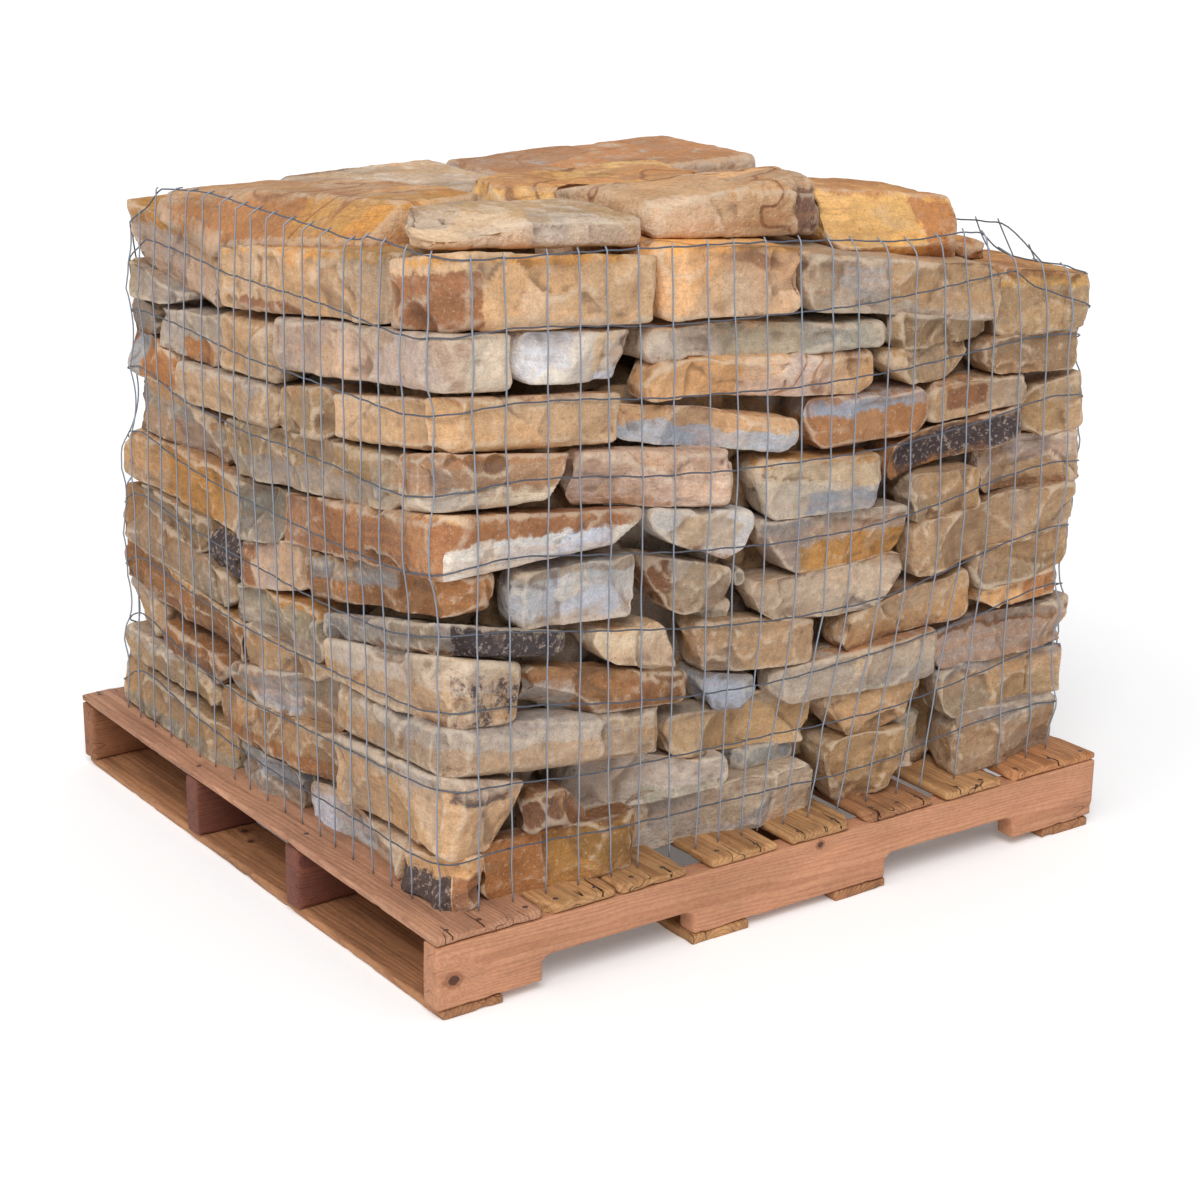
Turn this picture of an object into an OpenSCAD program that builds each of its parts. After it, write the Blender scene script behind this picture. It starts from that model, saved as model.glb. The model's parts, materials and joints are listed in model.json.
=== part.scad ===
// Pallet of split sandstone wall stone, wrapped in welded wire mesh.
// Every stone is a separate block. The courses are drawn on the near left corner of a
// standard pallet, x along its stringers, y along its deck boards, and move with its sizes.

/* [Pallet] */
// Length along the stringers
pallet_l = 1219; // [1000:1:1500]
// Width along the deck boards
pallet_w = 1143; // [950:1:1400]
// Thickness of one stringer
stringer_t = 38; // [28:1:50]
// Height of one stringer
stringer_h = 95; // [75:1:130]
// Thickness of a deck board
deck_t = 14; // [10:1:22]
// Thickness of a bottom board
bottom_t = 15; // [10:1:22]
// Length of a fork notch
notch_l = 260; // [200:1:300]
// Depth of a fork notch
notch_h = 37; // [20:1:50]
// Radius of a fork notch's upper corners
notch_r = 13; // [5:1:18]
// Distance from a stringer's end to its nearest notch
notch_end = 170; // [130:1:200]

/* [Stones] */
// Height of the stacked courses at their nearest corner
stack_h = 914; // [600:1:1100]
// How far the front, left and back stones stand back from the deck's edges
stack_inset = 40; // [30:1:60]
// How far the right stones stand back from the deck's edge
right_inset = 12; // [8:1:40]
// Depth of an ordinary stone, from its face inwards
stone_depth = 285; // [200:1:300]
// Largest cut along a stone's split edges
edge_cut = 16; // [6:1:22]
// Gap between neighbours in a course
joint_gap = 6; // [3:1:12]

/* [Wire mesh] */
// Diameter of the wire
wire_d = 2; // [1.5:0.1:4]
// Spacing of the upright wires
upright_pitch = 50.8; // [40:0.1:110]
// Spacing of the level wires
level_pitch = 101.6; // [80:0.1:160]
// Radius of the mesh where it turns a corner
mesh_r = 40; // [30:1:60]
// Gap between the mesh and the deck's edge
mesh_edge = 1; // [0.5:0.5:10]

/* [Hidden] */
$fn = 48;
drawn_l = 1219; // the pallet and the stack that the courses are drawn for
drawn_w = 1143;
drawn_deck = 124;
drawn_h = 914;
deck_top = bottom_t + stringer_h + deck_t;
scale_x = pallet_l / drawn_l;
scale_y = pallet_w / drawn_w;
scale_z = stack_h / drawn_h;

// Deck boards and bottom boards, from and to along the stringers
deck_rows = [[0, 171], [176, 295], [300, 418], [459, 581], [606, 729], [752, 881], [905, 1018], [1043, 1219]];
bottom_rows = [[6, 107], [427, 532], [690, 793], [1112, 1213]];
stringer_at = [0, 0.354, 0.65, 1]; // share of the free width before each stringer

// Near corner stones: reach along x and y, heights of the lower and of the upper face at the
// corner, at the x end and at the y end, then how far the x end's foot is drawn in
corner_rows = [
    [112, 180, [124, 124, 124], [202, 200, 182]],
    [182, 361, [206, 206, 200], [325, 290, 294], 58],
    [412, 352, [327, 286, 306], [390, 353, 374]],
    [174, 388, [395, 388, 379], [497, 464, 430], 12],
    [246, 388, [502, 470, 438], [546, 496, 468], 22],
    [135, 438, [556, 556, 480], [602, 598, 545], 8],
    [376, 500, [606, 618, 548], [690, 650, 615], 56],
    [259, 165, [702, 690, 676], [775, 746, 750], 50],
    [342, 350, [779, 752, 738], [848, 815, 792], 12],
    [166, 508, [862, 848, 802], [930, 918, 872], 6],
    [402, 190, [936, 909, 921], [1038, 996, 1004], 10],
];
// Front stones: from, to, heights of the lower face and of the upper face at both ends,
// then how far each end's foot (or, below zero, its head) is drawn in, depth and setback
front_rows = [
    [[116, 371, [124, 124], [203, 203], [0, 0], 130], [188, 300, [207, 207], [262, 260], [-3, -48], 110, 8],
     [377, 697, [124, 124], [206, 203]], [703, 885, [124, 124], [228, 222], [42, 66]],
     [893, 958, [124, 124], [212, 212], [0, 0], 150, 60], [964, 1192, [124, 124], [216, 213]]],
    [[243, 536, [211, 208], [280, 250], [57, 8]], [545, 690, [208, 208], [236, 233], [8, 8], 190, 45],
     [706, 902, [231, 231], [298, 296], [52, 56]], [927, 1200, [219, 219], [292, 290], [24, 0]]],
    [[418, 700, [270, 242], [328, 306], [12, 10], 240], [478, 598, [328, 320], [386, 352], [24, 26]],
     [604, 928, [312, 301], [362, 366], [16, 0]], [934, 1208, [299, 300], [352, 372], [0, 8]],
     [1000, 1198, [380, 388], [411, 423], [30, 0]]],
    [[180, 458, [379, 357], [452, 392], [18, 4], 125], [466, 700, [391, 368], [466, 424], [14, 10]],
     [735, 995, [369, 384], [420, 448]], [1001, 1202, [417, 428], [470, 497]]],
    [[285, 461, [437, 397], [484, 466], [34, -30]], [468, 553, [466, 452], [485, 478], [0, 8], 200, 24],
     [560, 858, [447, 427], [505, 502], [34, 68]], [866, 1210, [459, 503], [543, 562]]],
    [[160, 371, [517, 503], [590, 580], [4, 6], 115], [378, 531, [488, 488], [576, 532], [48, 20]],
     [535, 556, [508, 508], [530, 528], [2, 2], 90, 10], [572, 856, [509, 507], [592, 574], [62, 6]],
     [862, 1010, [548, 554], [612, 609]], [1016, 1213, [566, 568], [638, 639]]],
    [[382, 566, [602, 546], [644, 612], [22, 26]], [572, 803, [599, 588], [683, 660], [22, 12]],
     [809, 1085, [619, 648], [664, 696], [8, 4]], [1091, 1213, [644, 645], [716, 730]]],
    [[264, 530, [668, 634], [740, 706], [4, 6], 115], [341, 648, [751, 695], [791, 732], [0, 24]],
     [655, 884, [689, 684], [755, 750], [24, 12]], [890, 1090, [692, 703], [748, 741], [6, 4]]],
    [[364, 780, [804, 759], [846, 818], [-30, 8]], [787, 994, [759, 759], [808, 806], [68, 48]],
     [1000, 1195, [757, 740], [803, 802], [0, 6]]],
    [[172, 370, [852, 829], [914, 891], [0, 16], 125], [382, 806, [850, 826], [892, 856], [0, 6]],
     [812, 1015, [813, 810], [866, 832], [8, 8]], [1021, 1212, [807, 806], [906, 878]]],
    [[408, 648, [908, 893], [1000, 976], [0, 8]], [654, 1017, [893, 837], [968, 910], [4, 12]]],
];
// Left stones, in the same terms along y
left_rows = [
    [[186, 478, [124, 124], [182, 178]], [484, 688, [124, 124], [186, 178], [0, 6]],
     [694, 1076, [124, 124], [180, 211]]],
    [[367, 738, [207, 188], [280, 250], [0, 26]], [744, 1050, [215, 217], [251, 266]]],
    [[358, 706, [290, 259], [368, 296], [6, 30]], [712, 925, [259, 267], [298, 303]],
     [931, 1058, [274, 275], [338, 344], [0, 8]]],
    [[394, 640, [364, 319], [379, 381], [0, 0]], [646, 1064, [309, 357], [378, 416], [4, 8]]],
    [[394, 668, [387, 384], [462, 440], [0, 12]], [674, 1064, [393, 421], [440, 499], [4, 6]]],
    [[444, 638, [485, 447], [552, 508], [6, 18]], [644, 742, [447, 453], [507, 501]],
     [748, 1002, [457, 495], [512, 520], [0, 6]]],
    [[506, 646, [543, 517], [611, 600], [0, 6]], [652, 1050, [517, 525], [598, 605], [0, -50]]],
    [[170, 694, [670, 606], [741, 686], [0, 8], 145], [700, 982, [607, 616], [678, 698]]],
    [[356, 510, [729, 712], [798, 766], [4, 4]], [516, 830, [712, 693], [767, 747], [0, 4]],
     [836, 1016, [693, 703], [751, 764]]],
    [[514, 690, [778, 767], [857, 842], [0, 8]], [696, 905, [763, 765], [835, 814], [0, 4]],
     [911, 1002, [770, 772], [812, 820]], [786, 998, [833, 827], [851, 877], [60, 0]]],
    [[194, 674, [919, 863], [1008, 946], [0, 10]], [680, 986, [847, 882], [918, 972], [38, 50]]],
];
// Level courses of the right and back faces, and the number of stones in each
rear_levels = [124, 210, 292, 378, 430, 500, 566, 640, 735, 806, 898, 968];
right_counts = [2, 1, 2, 1, 2, 2, 1, 2, 2, 1];
back_counts = [3, 4, 3, 3, 4, 3, 4, 3, 3, 4, 2];
// Slabs that lie on the top: from and to along x, along y, heights as for front stones, then
// how strongly their edges are cut, and how far their far corners are, right then left
top_rows = [
    [56, 428, 108, 300, [1028, 998], [1066, 1036], 1.4, [30, 150]],
    [430, 742, 118, 420, [1004, 975], [1050, 1064], 1.5, [40, 30]],
    [750, 1003, 100, 346, [953, 914], [1034, 1004], 2.2, [45, 25]],
    [430, 790, 430, 640, [971, 971], [1042, 1036], 2, [30, 40]],
    [1010, 1078, 130, 260, [912, 904], [942, 930], 1, [20, 20]],
];
inner_heights = [902, 963];
// The slab along the left face: marks along y, heights below and above at each, then how far
// in it starts and ends and the height at which its side begins to slope inwards
left_top = [[306, 640, 934], [1001, 956, 969], [1050, 1024, 984], [6, 260], 948];
core_cut = 180; // the core's near corner is cut back behind the corner stones
course_count = len(corner_rows);
stringer_count = len(stringer_at);
sides = ["front", "right", "back", "left"];
row_edge = stack_inset + stone_depth + 16; // no stone of a face reaches further in than this
right_edge = right_inset + stone_depth + 16;

// A repeatable number between low and high for a pair of seeds
function spread(low, high, a, b) =
    let (v = sin(a * 127.1 + b * 311.7) * 4375.85) low + (high - low) * (v - floor(v));
function item(row, i, other) = len(row) > i ? row[i] : other;
function up(z) = deck_top + (z - drawn_deck) * scale_z;
// A corner of an outline is cut by reach along both of its edges
function part_way(here, there, reach) = here + (there - here) * min(0.42, reach / norm(there - here));
function cut_corners(p, cut) = [
    for (i = [0 : len(p) - 1])
        each [part_way(p[i], p[(i + len(p) - 1) % len(p)], cut[i]), part_way(p[i], p[(i + 1) % len(p)], cut[i])]
];
function cuts(n, low, high, seed) = [for (i = [1 : n]) spread(low, high, seed, i)];

module from_corner() translate([-pallet_l / 2, -pallet_w / 2, 0]) children();

// A prism whose outline (v, z) is a split face at v = face, with both of its edges cut back
module split_face(from, to, lower, upper, face, cut, flare) {
    run = to - from;
    middle = (lower + upper) / 2;
    thick = max(upper[0] - lower[0], upper[1] - lower[1]);
    half = max(thick / 2 - cut, thick / 6);
    reach = 700;
    translate([from, 0, middle[0]])
        rotate([0, -atan((middle[1] - middle[0]) / run), 0])
            translate([-run, 0, 0])
                rotate([90, 0, 90])
                    linear_extrude(3 * run)
                        polygon([[face, -half], [face + reach, -half - reach * flare],
                                 [face + reach, half + reach * flare], [face, half]]);
}

// One stone in a face: u runs along the face, v inwards from the deck's edge
module face_stone(row, seed, stretch, inset = stack_inset) {
    from = row[0] * stretch + joint_gap / 2 - 3;
    to = row[1] * stretch - joint_gap / 2 + 3;
    lower = [up(row[2][0]), up(row[2][1])];
    upper = [up(row[3][0]), up(row[3][1])];
    foot = stretch * item(row, 4, [spread(-6, 6, seed, 11), spread(-6, 6, seed, 12)]);
    depth = item(row, 5, stone_depth - spread(0, 16, seed, 13));
    face = inset + item(row, 6, 0) + spread(0, 9, seed, 14);
    edge = item(row, 7, 1) * edge_cut;
    skew = spread(-5, 5, seed, 15);
    elevation = [[from + max(foot[0], 0), lower[0]], [to - max(foot[1], 0), lower[1]],
                 [to + min(foot[1], 0), upper[1]], [from - min(foot[0], 0), upper[0]]];
    plan = [[from, face + skew], [to, face - skew], [to - 10, face + depth], [from + 10, face + depth]];
    near_cut = cuts(2, edge * 0.7, edge * 1.9, seed + 0.3);
    turn_cut = to > pallet_l - 1.1 * mesh_r ? 0.7 * mesh_r : 0;
    plan_cut = concat([near_cut[0], max(near_cut[1], turn_cut)], item(row, 8, cuts(2, 20, 45, seed + 0.6)));
    intersection() {
        translate([0, 2 * pallet_w, 0])
            rotate([90, 0, 0])
                linear_extrude(3 * pallet_w)
                    polygon(cut_corners(elevation, cuts(4, edge_cut * 0.5, edge_cut * 1.2, seed)));
        translate([0, 0, deck_top])
            linear_extrude(2 * stack_h)
                polygon(cut_corners(plan, plan_cut));
        split_face(from, to, lower, upper, face - abs(skew), spread(0.3, 0.9, seed, 16) * edge,
                   spread(0.5, 1.1, seed, 17));
    }
}

// A big box turned so that its face lies in the plane through a height at the stack's near
// corner and heights at both ends; side 1 keeps what is above the plane, side 0 what is below
module plane_cut(heights, reach_x, reach_y, side) {
    slope = [(heights[1] - heights[0]) / reach_x, (heights[2] - heights[0]) / reach_y];
    turn_y = -atan(slope[0]);
    turn_x = atan(slope[1] * cos(turn_y));
    big = 2 * stack_h;
    translate([stack_inset, stack_inset, heights[0]])
        rotate([turn_x, turn_y, 0])
            translate([-big / 2, -big / 2, -big * (1 - side)])
                cube(big);
}

// What is left of a slanting end at x, whose foot is drawn in from its head
module slant_end(x, low, high, drawn_in) {
    beyond = stack_h;
    lean = drawn_in / (high - low);
    translate([0, 2 * pallet_w, 0])
        rotate([90, 0, 0])
            linear_extrude(3 * pallet_w)
                polygon([[0, low - beyond], [x - drawn_in - beyond * lean, low - beyond],
                         [x + beyond * lean, high + beyond], [0, high + beyond]]);
}

// The stone that turns the near corner in one course
module corner_stone(row, seed) {
    end = [row[0] * scale_x, row[1] * scale_y];
    lower = [for (z = row[2]) up(z)];
    upper = [for (z = row[3]) up(z)];
    face = stack_inset + spread(0, 8, seed, 4);
    inner = end[0] > row_edge && end[1] > row_edge ? [[end[0], row_edge], [row_edge, end[1]]] : [end];
    plan = concat([[face, face], [end[0], face]], inner, [[face, end[1]]]);
    cut = concat([max(spread(24, 44, seed, 5), 0.45 * mesh_r), 20], [for (p = inner) 14], [20]);
    face_cut = 0.7 * edge_cut;
    intersection() {
        translate([0, 0, deck_top])
            linear_extrude(2 * stack_h)
                polygon(cut_corners(plan, cut));
        plane_cut(lower, end[0] - stack_inset, end[1] - stack_inset, 1);
        plane_cut(upper, end[0] - stack_inset, end[1] - stack_inset, 0);
        split_face(face, end[0], [lower[0], lower[1]], [upper[0], upper[1]], face, face_cut, 0.8);
        mirror([1, -1, 0])
            split_face(face, end[1], [lower[0], lower[2]], [upper[0], upper[2]], face, face_cut, 0.8);
        slant_end(end[0], lower[1], upper[1], item(row, 4, 6) * scale_x);
    }
}

// Stones of one level course that fill a hidden face between two marks
module level_stones(from, to, count, low, high, seed, inset) {
    share = [for (i = [0 : count]) (i + (i == 0 || i == count ? 0 : spread(-0.22, 0.22, seed, i))) / count];
    for (i = [1 : count])
        face_stone([from + (to - from) * share[i - 1] + 3, from + (to - from) * share[i] - 3,
                    [low + 1, low + 1], [high - spread(1, 8, seed, i + 20), high - spread(1, 8, seed, i + 30)]],
                   seed + i, 1, inset);
}

module course(i) {
    color([0.72, 0.58, 0.41]) from_corner() {
        corner_stone(corner_rows[i - 1], i);
        for (j = [0 : len(front_rows[i - 1]) - 1])
            face_stone(front_rows[i - 1][j], i * 10 + j, scale_x);
        for (j = [0 : len(left_rows[i - 1]) - 1])
            mirror([1, -1, 0]) face_stone(left_rows[i - 1][j], i * 10 + j + 200, scale_y);
        if (i < len(rear_levels) - 1)
            translate([pallet_l, 0, 0]) rotate([0, 0, 90])
                level_stones(row_edge, pallet_w - row_edge, right_counts[i - 1],
                             rear_levels[i - 1], rear_levels[i], i * 10 + 400, right_inset);
        translate([pallet_l, pallet_w, 0]) rotate([0, 0, 180])
            level_stones(36, pallet_l - row_edge, back_counts[i - 1],
                         rear_levels[i - 1], rear_levels[i], i * 10 + 600, stack_inset);
    }
}

// The stones that nobody can see stand as one plain block
module stone_core() {
    far = [pallet_l - right_edge, pallet_w - row_edge];
    color([0.6, 0.5, 0.38]) from_corner()
        translate([0, 0, deck_top])
            linear_extrude(up(inner_heights[0] - 2) - deck_top)
                polygon([[row_edge + core_cut, row_edge], [far[0], row_edge], far, [row_edge, far[1]],
                         [row_edge, row_edge + core_cut]]);
}

// A slab lying on the top, between marks along x and y
module top_slab(x, y, lower, upper, edge, far_cuts, seed) {
    translate([0, y[0] - stack_inset, 0])
        face_stone([x[0], x[1], lower, upper, [4, 4], y[1] - y[0] - 12, 0, edge, far_cuts], seed, 1);
}

// The slab along the left face: it rests on two tilted stones, so its underside is bent, and
// its outer side slopes inwards from their edge
module side_slab() {
    v = left_top[0] * scale_y;
    lower = [for (z = left_top[1]) up(z)];
    upper = [for (z = left_top[2]) up(z)];
    near = stack_inset + left_top[3][0];
    far = stack_inset + left_top[3][1];
    rise = upper[0] - up(left_top[4]);
    elevation = [[v[0], lower[0]], [v[1], lower[1]], [v[2], lower[2]],
                 [v[2], upper[2]], [v[1], upper[1]], [v[0], upper[0]]];
    plan = [[v[0], near], [v[2], near], [v[2] - edge_cut, far], [v[0] + edge_cut, far]];
    section = [[near, 0], [near, up(left_top[4])], [near + rise, upper[0]], [far, upper[0]], [far, 0]];
    mirror([1, -1, 0])
        intersection() {
            translate([0, 2 * pallet_w, 0])
                rotate([90, 0, 0])
                    linear_extrude(3 * pallet_w)
                        polygon(cut_corners(elevation, [8, 20, 6, 6, 60, 20]));
            translate([0, 0, deck_top])
                linear_extrude(2 * stack_h)
                    polygon(cut_corners(plan, [45, 60, 40, 30]));
            rotate([90, 0, 90])
                linear_extrude(2 * pallet_w)
                    polygon(section);
        }
}

// Four slabs close the stack over the core, between the rows of the faces
module inner_slabs() {
    behind = max(row_edge, top_rows[2][3] * scale_y - 5);
    far = [pallet_l - right_edge, pallet_w - row_edge];
    for (i = [0, 1], j = [0, 1]) {
        across = row_edge + (far[0] - row_edge) * (0.46 - 0.07 * j);
        along = behind + (far[1] - behind) * (0.46 + 0.08 * i);
        top = inner_heights[1] - 7 * abs(i - j);
        x = i == 0 ? [row_edge, across - 3] : [across + 3, far[0]];
        y = j == 0 ? [behind, along] : [along, far[1]];
        top_slab(x, y, [inner_heights[0], inner_heights[0]], [top, top - 5], 1, [30, 30], 830 + 2 * i + j);
    }
}

module top_stones() {
    color([0.76, 0.58, 0.36]) from_corner() {
        inner_slabs();
        for (i = [0 : len(top_rows) - 1]) {
            row = top_rows[i];
            top_slab([row[0], row[1]] * scale_x, [row[2], row[3]] * scale_y, row[4], row[5], row[6], row[7],
                     800 + i);
        }
        side_slab();
    }
}

// A stringer with two fork notches in its lower edge
module notch_outline() {
    square([notch_l, notch_h - notch_r]);
    translate([notch_r, 0]) square([notch_l - 2 * notch_r, notch_h]);
    for (x = [notch_r, notch_l - notch_r])
        translate([x, notch_h - notch_r]) circle(notch_r);
}

module stringer(i) {
    color([0.66, 0.45, 0.32]) from_corner()
        translate([0, (pallet_w - stringer_t) * stringer_at[i - 1] + stringer_t, bottom_t])
            rotate([90, 0, 0])
                linear_extrude(stringer_t)
                    difference() {
                        square([pallet_l, stringer_h]);
                        for (x = [notch_end, pallet_l - notch_end - notch_l])
                            translate([x, -0.01]) notch_outline();
                    }
}

module board(row, thickness, base) {
    translate([row[0] * scale_x, 0, base])
        cube([(row[1] - row[0]) * scale_x, pallet_w, thickness]);
}

module deck_board(i) {
    color([0.78, 0.6, 0.42]) from_corner() board(deck_rows[i - 1], deck_t, bottom_t + stringer_h);
}

module bottom_board(i) {
    color([0.68, 0.48, 0.34]) from_corner() board(bottom_rows[i - 1], bottom_t, 0);
}

// Mesh: level wires follow a rectangle with round corners, upright wires stand outside them
mesh_x = [stack_inset - 10, pallet_l - mesh_edge - wire_d];
mesh_y = [stack_inset - 10, pallet_w - stack_inset + 10];
mesh_low = deck_top + level_pitch;
mesh_levels = round(stack_h / level_pitch);
mesh_top = mesh_low + (mesh_levels - 1) * level_pitch + wire_d;
// Centres of the corners' arcs in turn round the mesh, starting at the near corner
mesh_turns = [
    [mesh_x[0] + mesh_r, mesh_y[0] + mesh_r], [mesh_x[1] - mesh_r, mesh_y[0] + mesh_r],
    [mesh_x[1] - mesh_r, mesh_y[1] - mesh_r], [mesh_x[0] + mesh_r, mesh_y[1] - mesh_r],
];

module upright_wire() {
    translate([-wire_d / 2, -0.9 * wire_d, deck_top]) cube([wire_d, wire_d, mesh_top - deck_top]);
}

// The flat part of one side, drawn along x from one turn to the next
module mesh_side(k) {
    run = norm(mesh_turns[(k + 1) % 4] - mesh_turns[k]);
    count = floor(run / upright_pitch);
    start = (run - count * upright_pitch) / 2;
    color([0.5, 0.53, 0.56]) from_corner()
        translate([mesh_turns[k][0], mesh_turns[k][1], 0])
            rotate([0, 0, 90 * k])
                translate([0, -mesh_r, 0]) {
                    for (i = [0 : count])
                        translate([start + i * upright_pitch, 0, 0]) upright_wire();
                    for (i = [0 : mesh_levels - 1])
                        translate([0, 0, mesh_low + i * level_pitch]) cube([run, wire_d, wire_d]);
                }
}

module mesh_corner(k) {
    color([0.5, 0.53, 0.56]) from_corner()
        translate([mesh_turns[k][0], mesh_turns[k][1], 0])
            rotate([0, 0, 90 * k]) {
                rotate([0, 0, -45]) translate([0, -mesh_r, 0]) upright_wire();
                for (i = [0 : mesh_levels - 1])
                    translate([0, 0, mesh_low + i * level_pitch])
                        linear_extrude(wire_d)
                            intersection() {
                                difference() {
                                    circle(mesh_r);
                                    circle(mesh_r - wire_d);
                                }
                                translate([-mesh_r, -mesh_r]) square(mesh_r);
                            }
            }
}

for (i = [1 : stringer_count])
    stringer(i);
for (i = [1 : len(deck_rows)])
    deck_board(i);
for (i = [1 : len(bottom_rows)])
    bottom_board(i);
stone_core();
for (i = [1 : course_count])
    course(i);
top_stones();
for (k = [0 : 3])
    mesh_side(k);
for (k = [0 : 3])
    mesh_corner(k);
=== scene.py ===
import json
import math
import time
import bmesh
import bpy
import numpy as np
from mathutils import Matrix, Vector
from mathutils.bvhtree import BVHTree

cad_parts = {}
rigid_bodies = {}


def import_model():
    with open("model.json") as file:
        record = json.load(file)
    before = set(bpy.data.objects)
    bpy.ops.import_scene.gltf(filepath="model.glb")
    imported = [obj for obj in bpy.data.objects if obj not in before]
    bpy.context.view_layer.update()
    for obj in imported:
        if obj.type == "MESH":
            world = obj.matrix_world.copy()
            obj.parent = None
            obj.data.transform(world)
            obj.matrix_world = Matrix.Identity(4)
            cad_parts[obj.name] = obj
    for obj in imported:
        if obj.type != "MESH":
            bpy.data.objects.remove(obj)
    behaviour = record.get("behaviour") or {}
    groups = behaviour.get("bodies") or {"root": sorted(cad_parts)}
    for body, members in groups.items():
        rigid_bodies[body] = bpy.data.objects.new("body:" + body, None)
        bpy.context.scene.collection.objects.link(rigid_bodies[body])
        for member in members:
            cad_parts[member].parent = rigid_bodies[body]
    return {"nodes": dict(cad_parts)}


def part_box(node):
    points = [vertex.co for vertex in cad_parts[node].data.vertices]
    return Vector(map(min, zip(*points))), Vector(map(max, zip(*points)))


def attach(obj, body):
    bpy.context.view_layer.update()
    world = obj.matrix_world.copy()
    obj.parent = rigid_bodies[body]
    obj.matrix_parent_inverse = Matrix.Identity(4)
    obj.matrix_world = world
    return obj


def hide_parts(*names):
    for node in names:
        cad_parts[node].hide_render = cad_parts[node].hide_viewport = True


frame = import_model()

nodes = frame["nodes"]
started = time.time()
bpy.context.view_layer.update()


def report(stage):
    print(f"{stage}: {time.time() - started:.0f} s")


# repeatable noise and small mesh tools

lattice = np.random.default_rng(11).random((32, 32, 32))


def noise(points, cell, seed=0.0):
    # smooth noise from -1 to 1 whose bumps are about one cell apart
    p = np.asarray(points) / cell + np.array([seed * 1.37, seed * 2.11, seed * 0.73])
    low = np.floor(p).astype(np.int64)
    f = p - low
    f = f * f * (3 - 2 * f)
    total = np.zeros(len(p))
    for dx in (0, 1):
        for dy in (0, 1):
            for dz in (0, 1):
                weight = (np.abs(1 - dx - f[:, 0]) * np.abs(1 - dy - f[:, 1]) * np.abs(1 - dz - f[:, 2]))
                total += weight * lattice[(low[:, 0] + dx) & 31, (low[:, 1] + dy) & 31, (low[:, 2] + dz) & 31]
    return total * 2 - 1


def unit(v):
    v = np.asarray(v, float)
    return v / np.linalg.norm(v)


def smoothRamp(x, low, high):
    t = np.clip((x - low) / (high - low), 0, 1)
    return t * t * (3 - 2 * t)


def newMesh(name, points, faces):
    mesh = bpy.data.meshes.new(name)
    mesh.from_pydata(np.asarray(points).tolist(), [], [list(map(int, f)) for f in faces])
    return mesh


def linked(name, mesh):
    piece = bpy.data.objects.new(name, mesh)
    bpy.context.collection.objects.link(piece)
    return piece


def modified(points, faces, kind, settings, weights=None):
    # the result of one modifier as arrays of points and faces
    piece = linked("draft", newMesh("draft", points, faces))
    change = piece.modifiers.new(kind, kind)
    for key, value in settings.items():
        setattr(change, key, value)
    if weights is not None:
        group = piece.vertex_groups.new(name="ease")
        for level in np.unique(weights):
            group.add(np.flatnonzero(weights == level).tolist(), float(level), "REPLACE")
        change.vertex_group = "ease"
    result = piece.evaluated_get(bpy.context.evaluated_depsgraph_get()).to_mesh()
    found = np.empty(len(result.vertices) * 3, np.float32)
    result.vertices.foreach_get("co", found)
    if kind == "REMESH":
        sides = 4
        corners = np.empty(len(result.loops), np.int32)
        result.loops.foreach_get("vertex_index", corners)
    else:
        sides = 3
        result.calc_loop_triangles()
        corners = np.empty(len(result.loop_triangles) * 3, np.int32)
        result.loop_triangles.foreach_get("vertices", corners)
    mesh = piece.data
    bpy.data.objects.remove(piece)
    bpy.data.meshes.remove(mesh)
    return found.reshape(-1, 3).astype(float), corners.reshape(-1, sides)


def mark(mesh, label, values):
    # stores a number, a vector or a colour for each point, by how many numbers it has
    values = np.asarray(values, np.float32)
    kind, field = {1: ("FLOAT", "value"), 3: ("FLOAT_VECTOR", "vector"),
                   4: ("FLOAT_COLOR", "color")}[1 if values.ndim == 1 else values.shape[1]]
    mesh.attributes.new(label, kind, "POINT").data.foreach_set(field, values.ravel())


def relaxed(points, quads, rounds, amount=0.5):
    a = quads.ravel()
    b = np.roll(quads, -1, axis=1).ravel()
    i = np.concatenate([a, b])
    j = np.concatenate([b, a])
    count = np.bincount(i, minlength=len(points))[:, None]
    for _ in range(rounds):
        total = np.stack([np.bincount(i, points[j, k], len(points)) for k in range(3)], 1)
        points = points + amount * (total / count - points)
    return points


def pointNormals(points, faces):
    if faces.shape[1] == 4:
        flat = np.cross(points[faces[:, 2]] - points[faces[:, 0]], points[faces[:, 3]] - points[faces[:, 1]])
    else:
        flat = np.cross(points[faces[:, 1]] - points[faces[:, 0]], points[faces[:, 2]] - points[faces[:, 0]])
    total = np.stack([sum(np.bincount(faces[:, c], flat[:, k], len(points)) for c in range(faces.shape[1]))
                      for k in range(3)], 1)
    return total / np.maximum(np.linalg.norm(total, axis=1, keepdims=True), 1e-12)


def ridges(points, faces, normal):
    i = faces.ravel()
    j = np.roll(faces, -1, axis=1).ravel()
    i, j = np.concatenate([i, j]), np.concatenate([j, i])
    count = np.bincount(i, minlength=len(points))
    gap = points[i] - points[j]
    length = np.linalg.norm(gap, axis=1)
    lift = np.bincount(i, (gap * normal[i]).sum(1) / np.maximum(length, 1e-6), len(points)) / count
    lift = 0.5 * lift + 0.5 * np.bincount(i, lift[j], len(points)) / count
    return np.clip(lift * 6, -1, 1)


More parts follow.
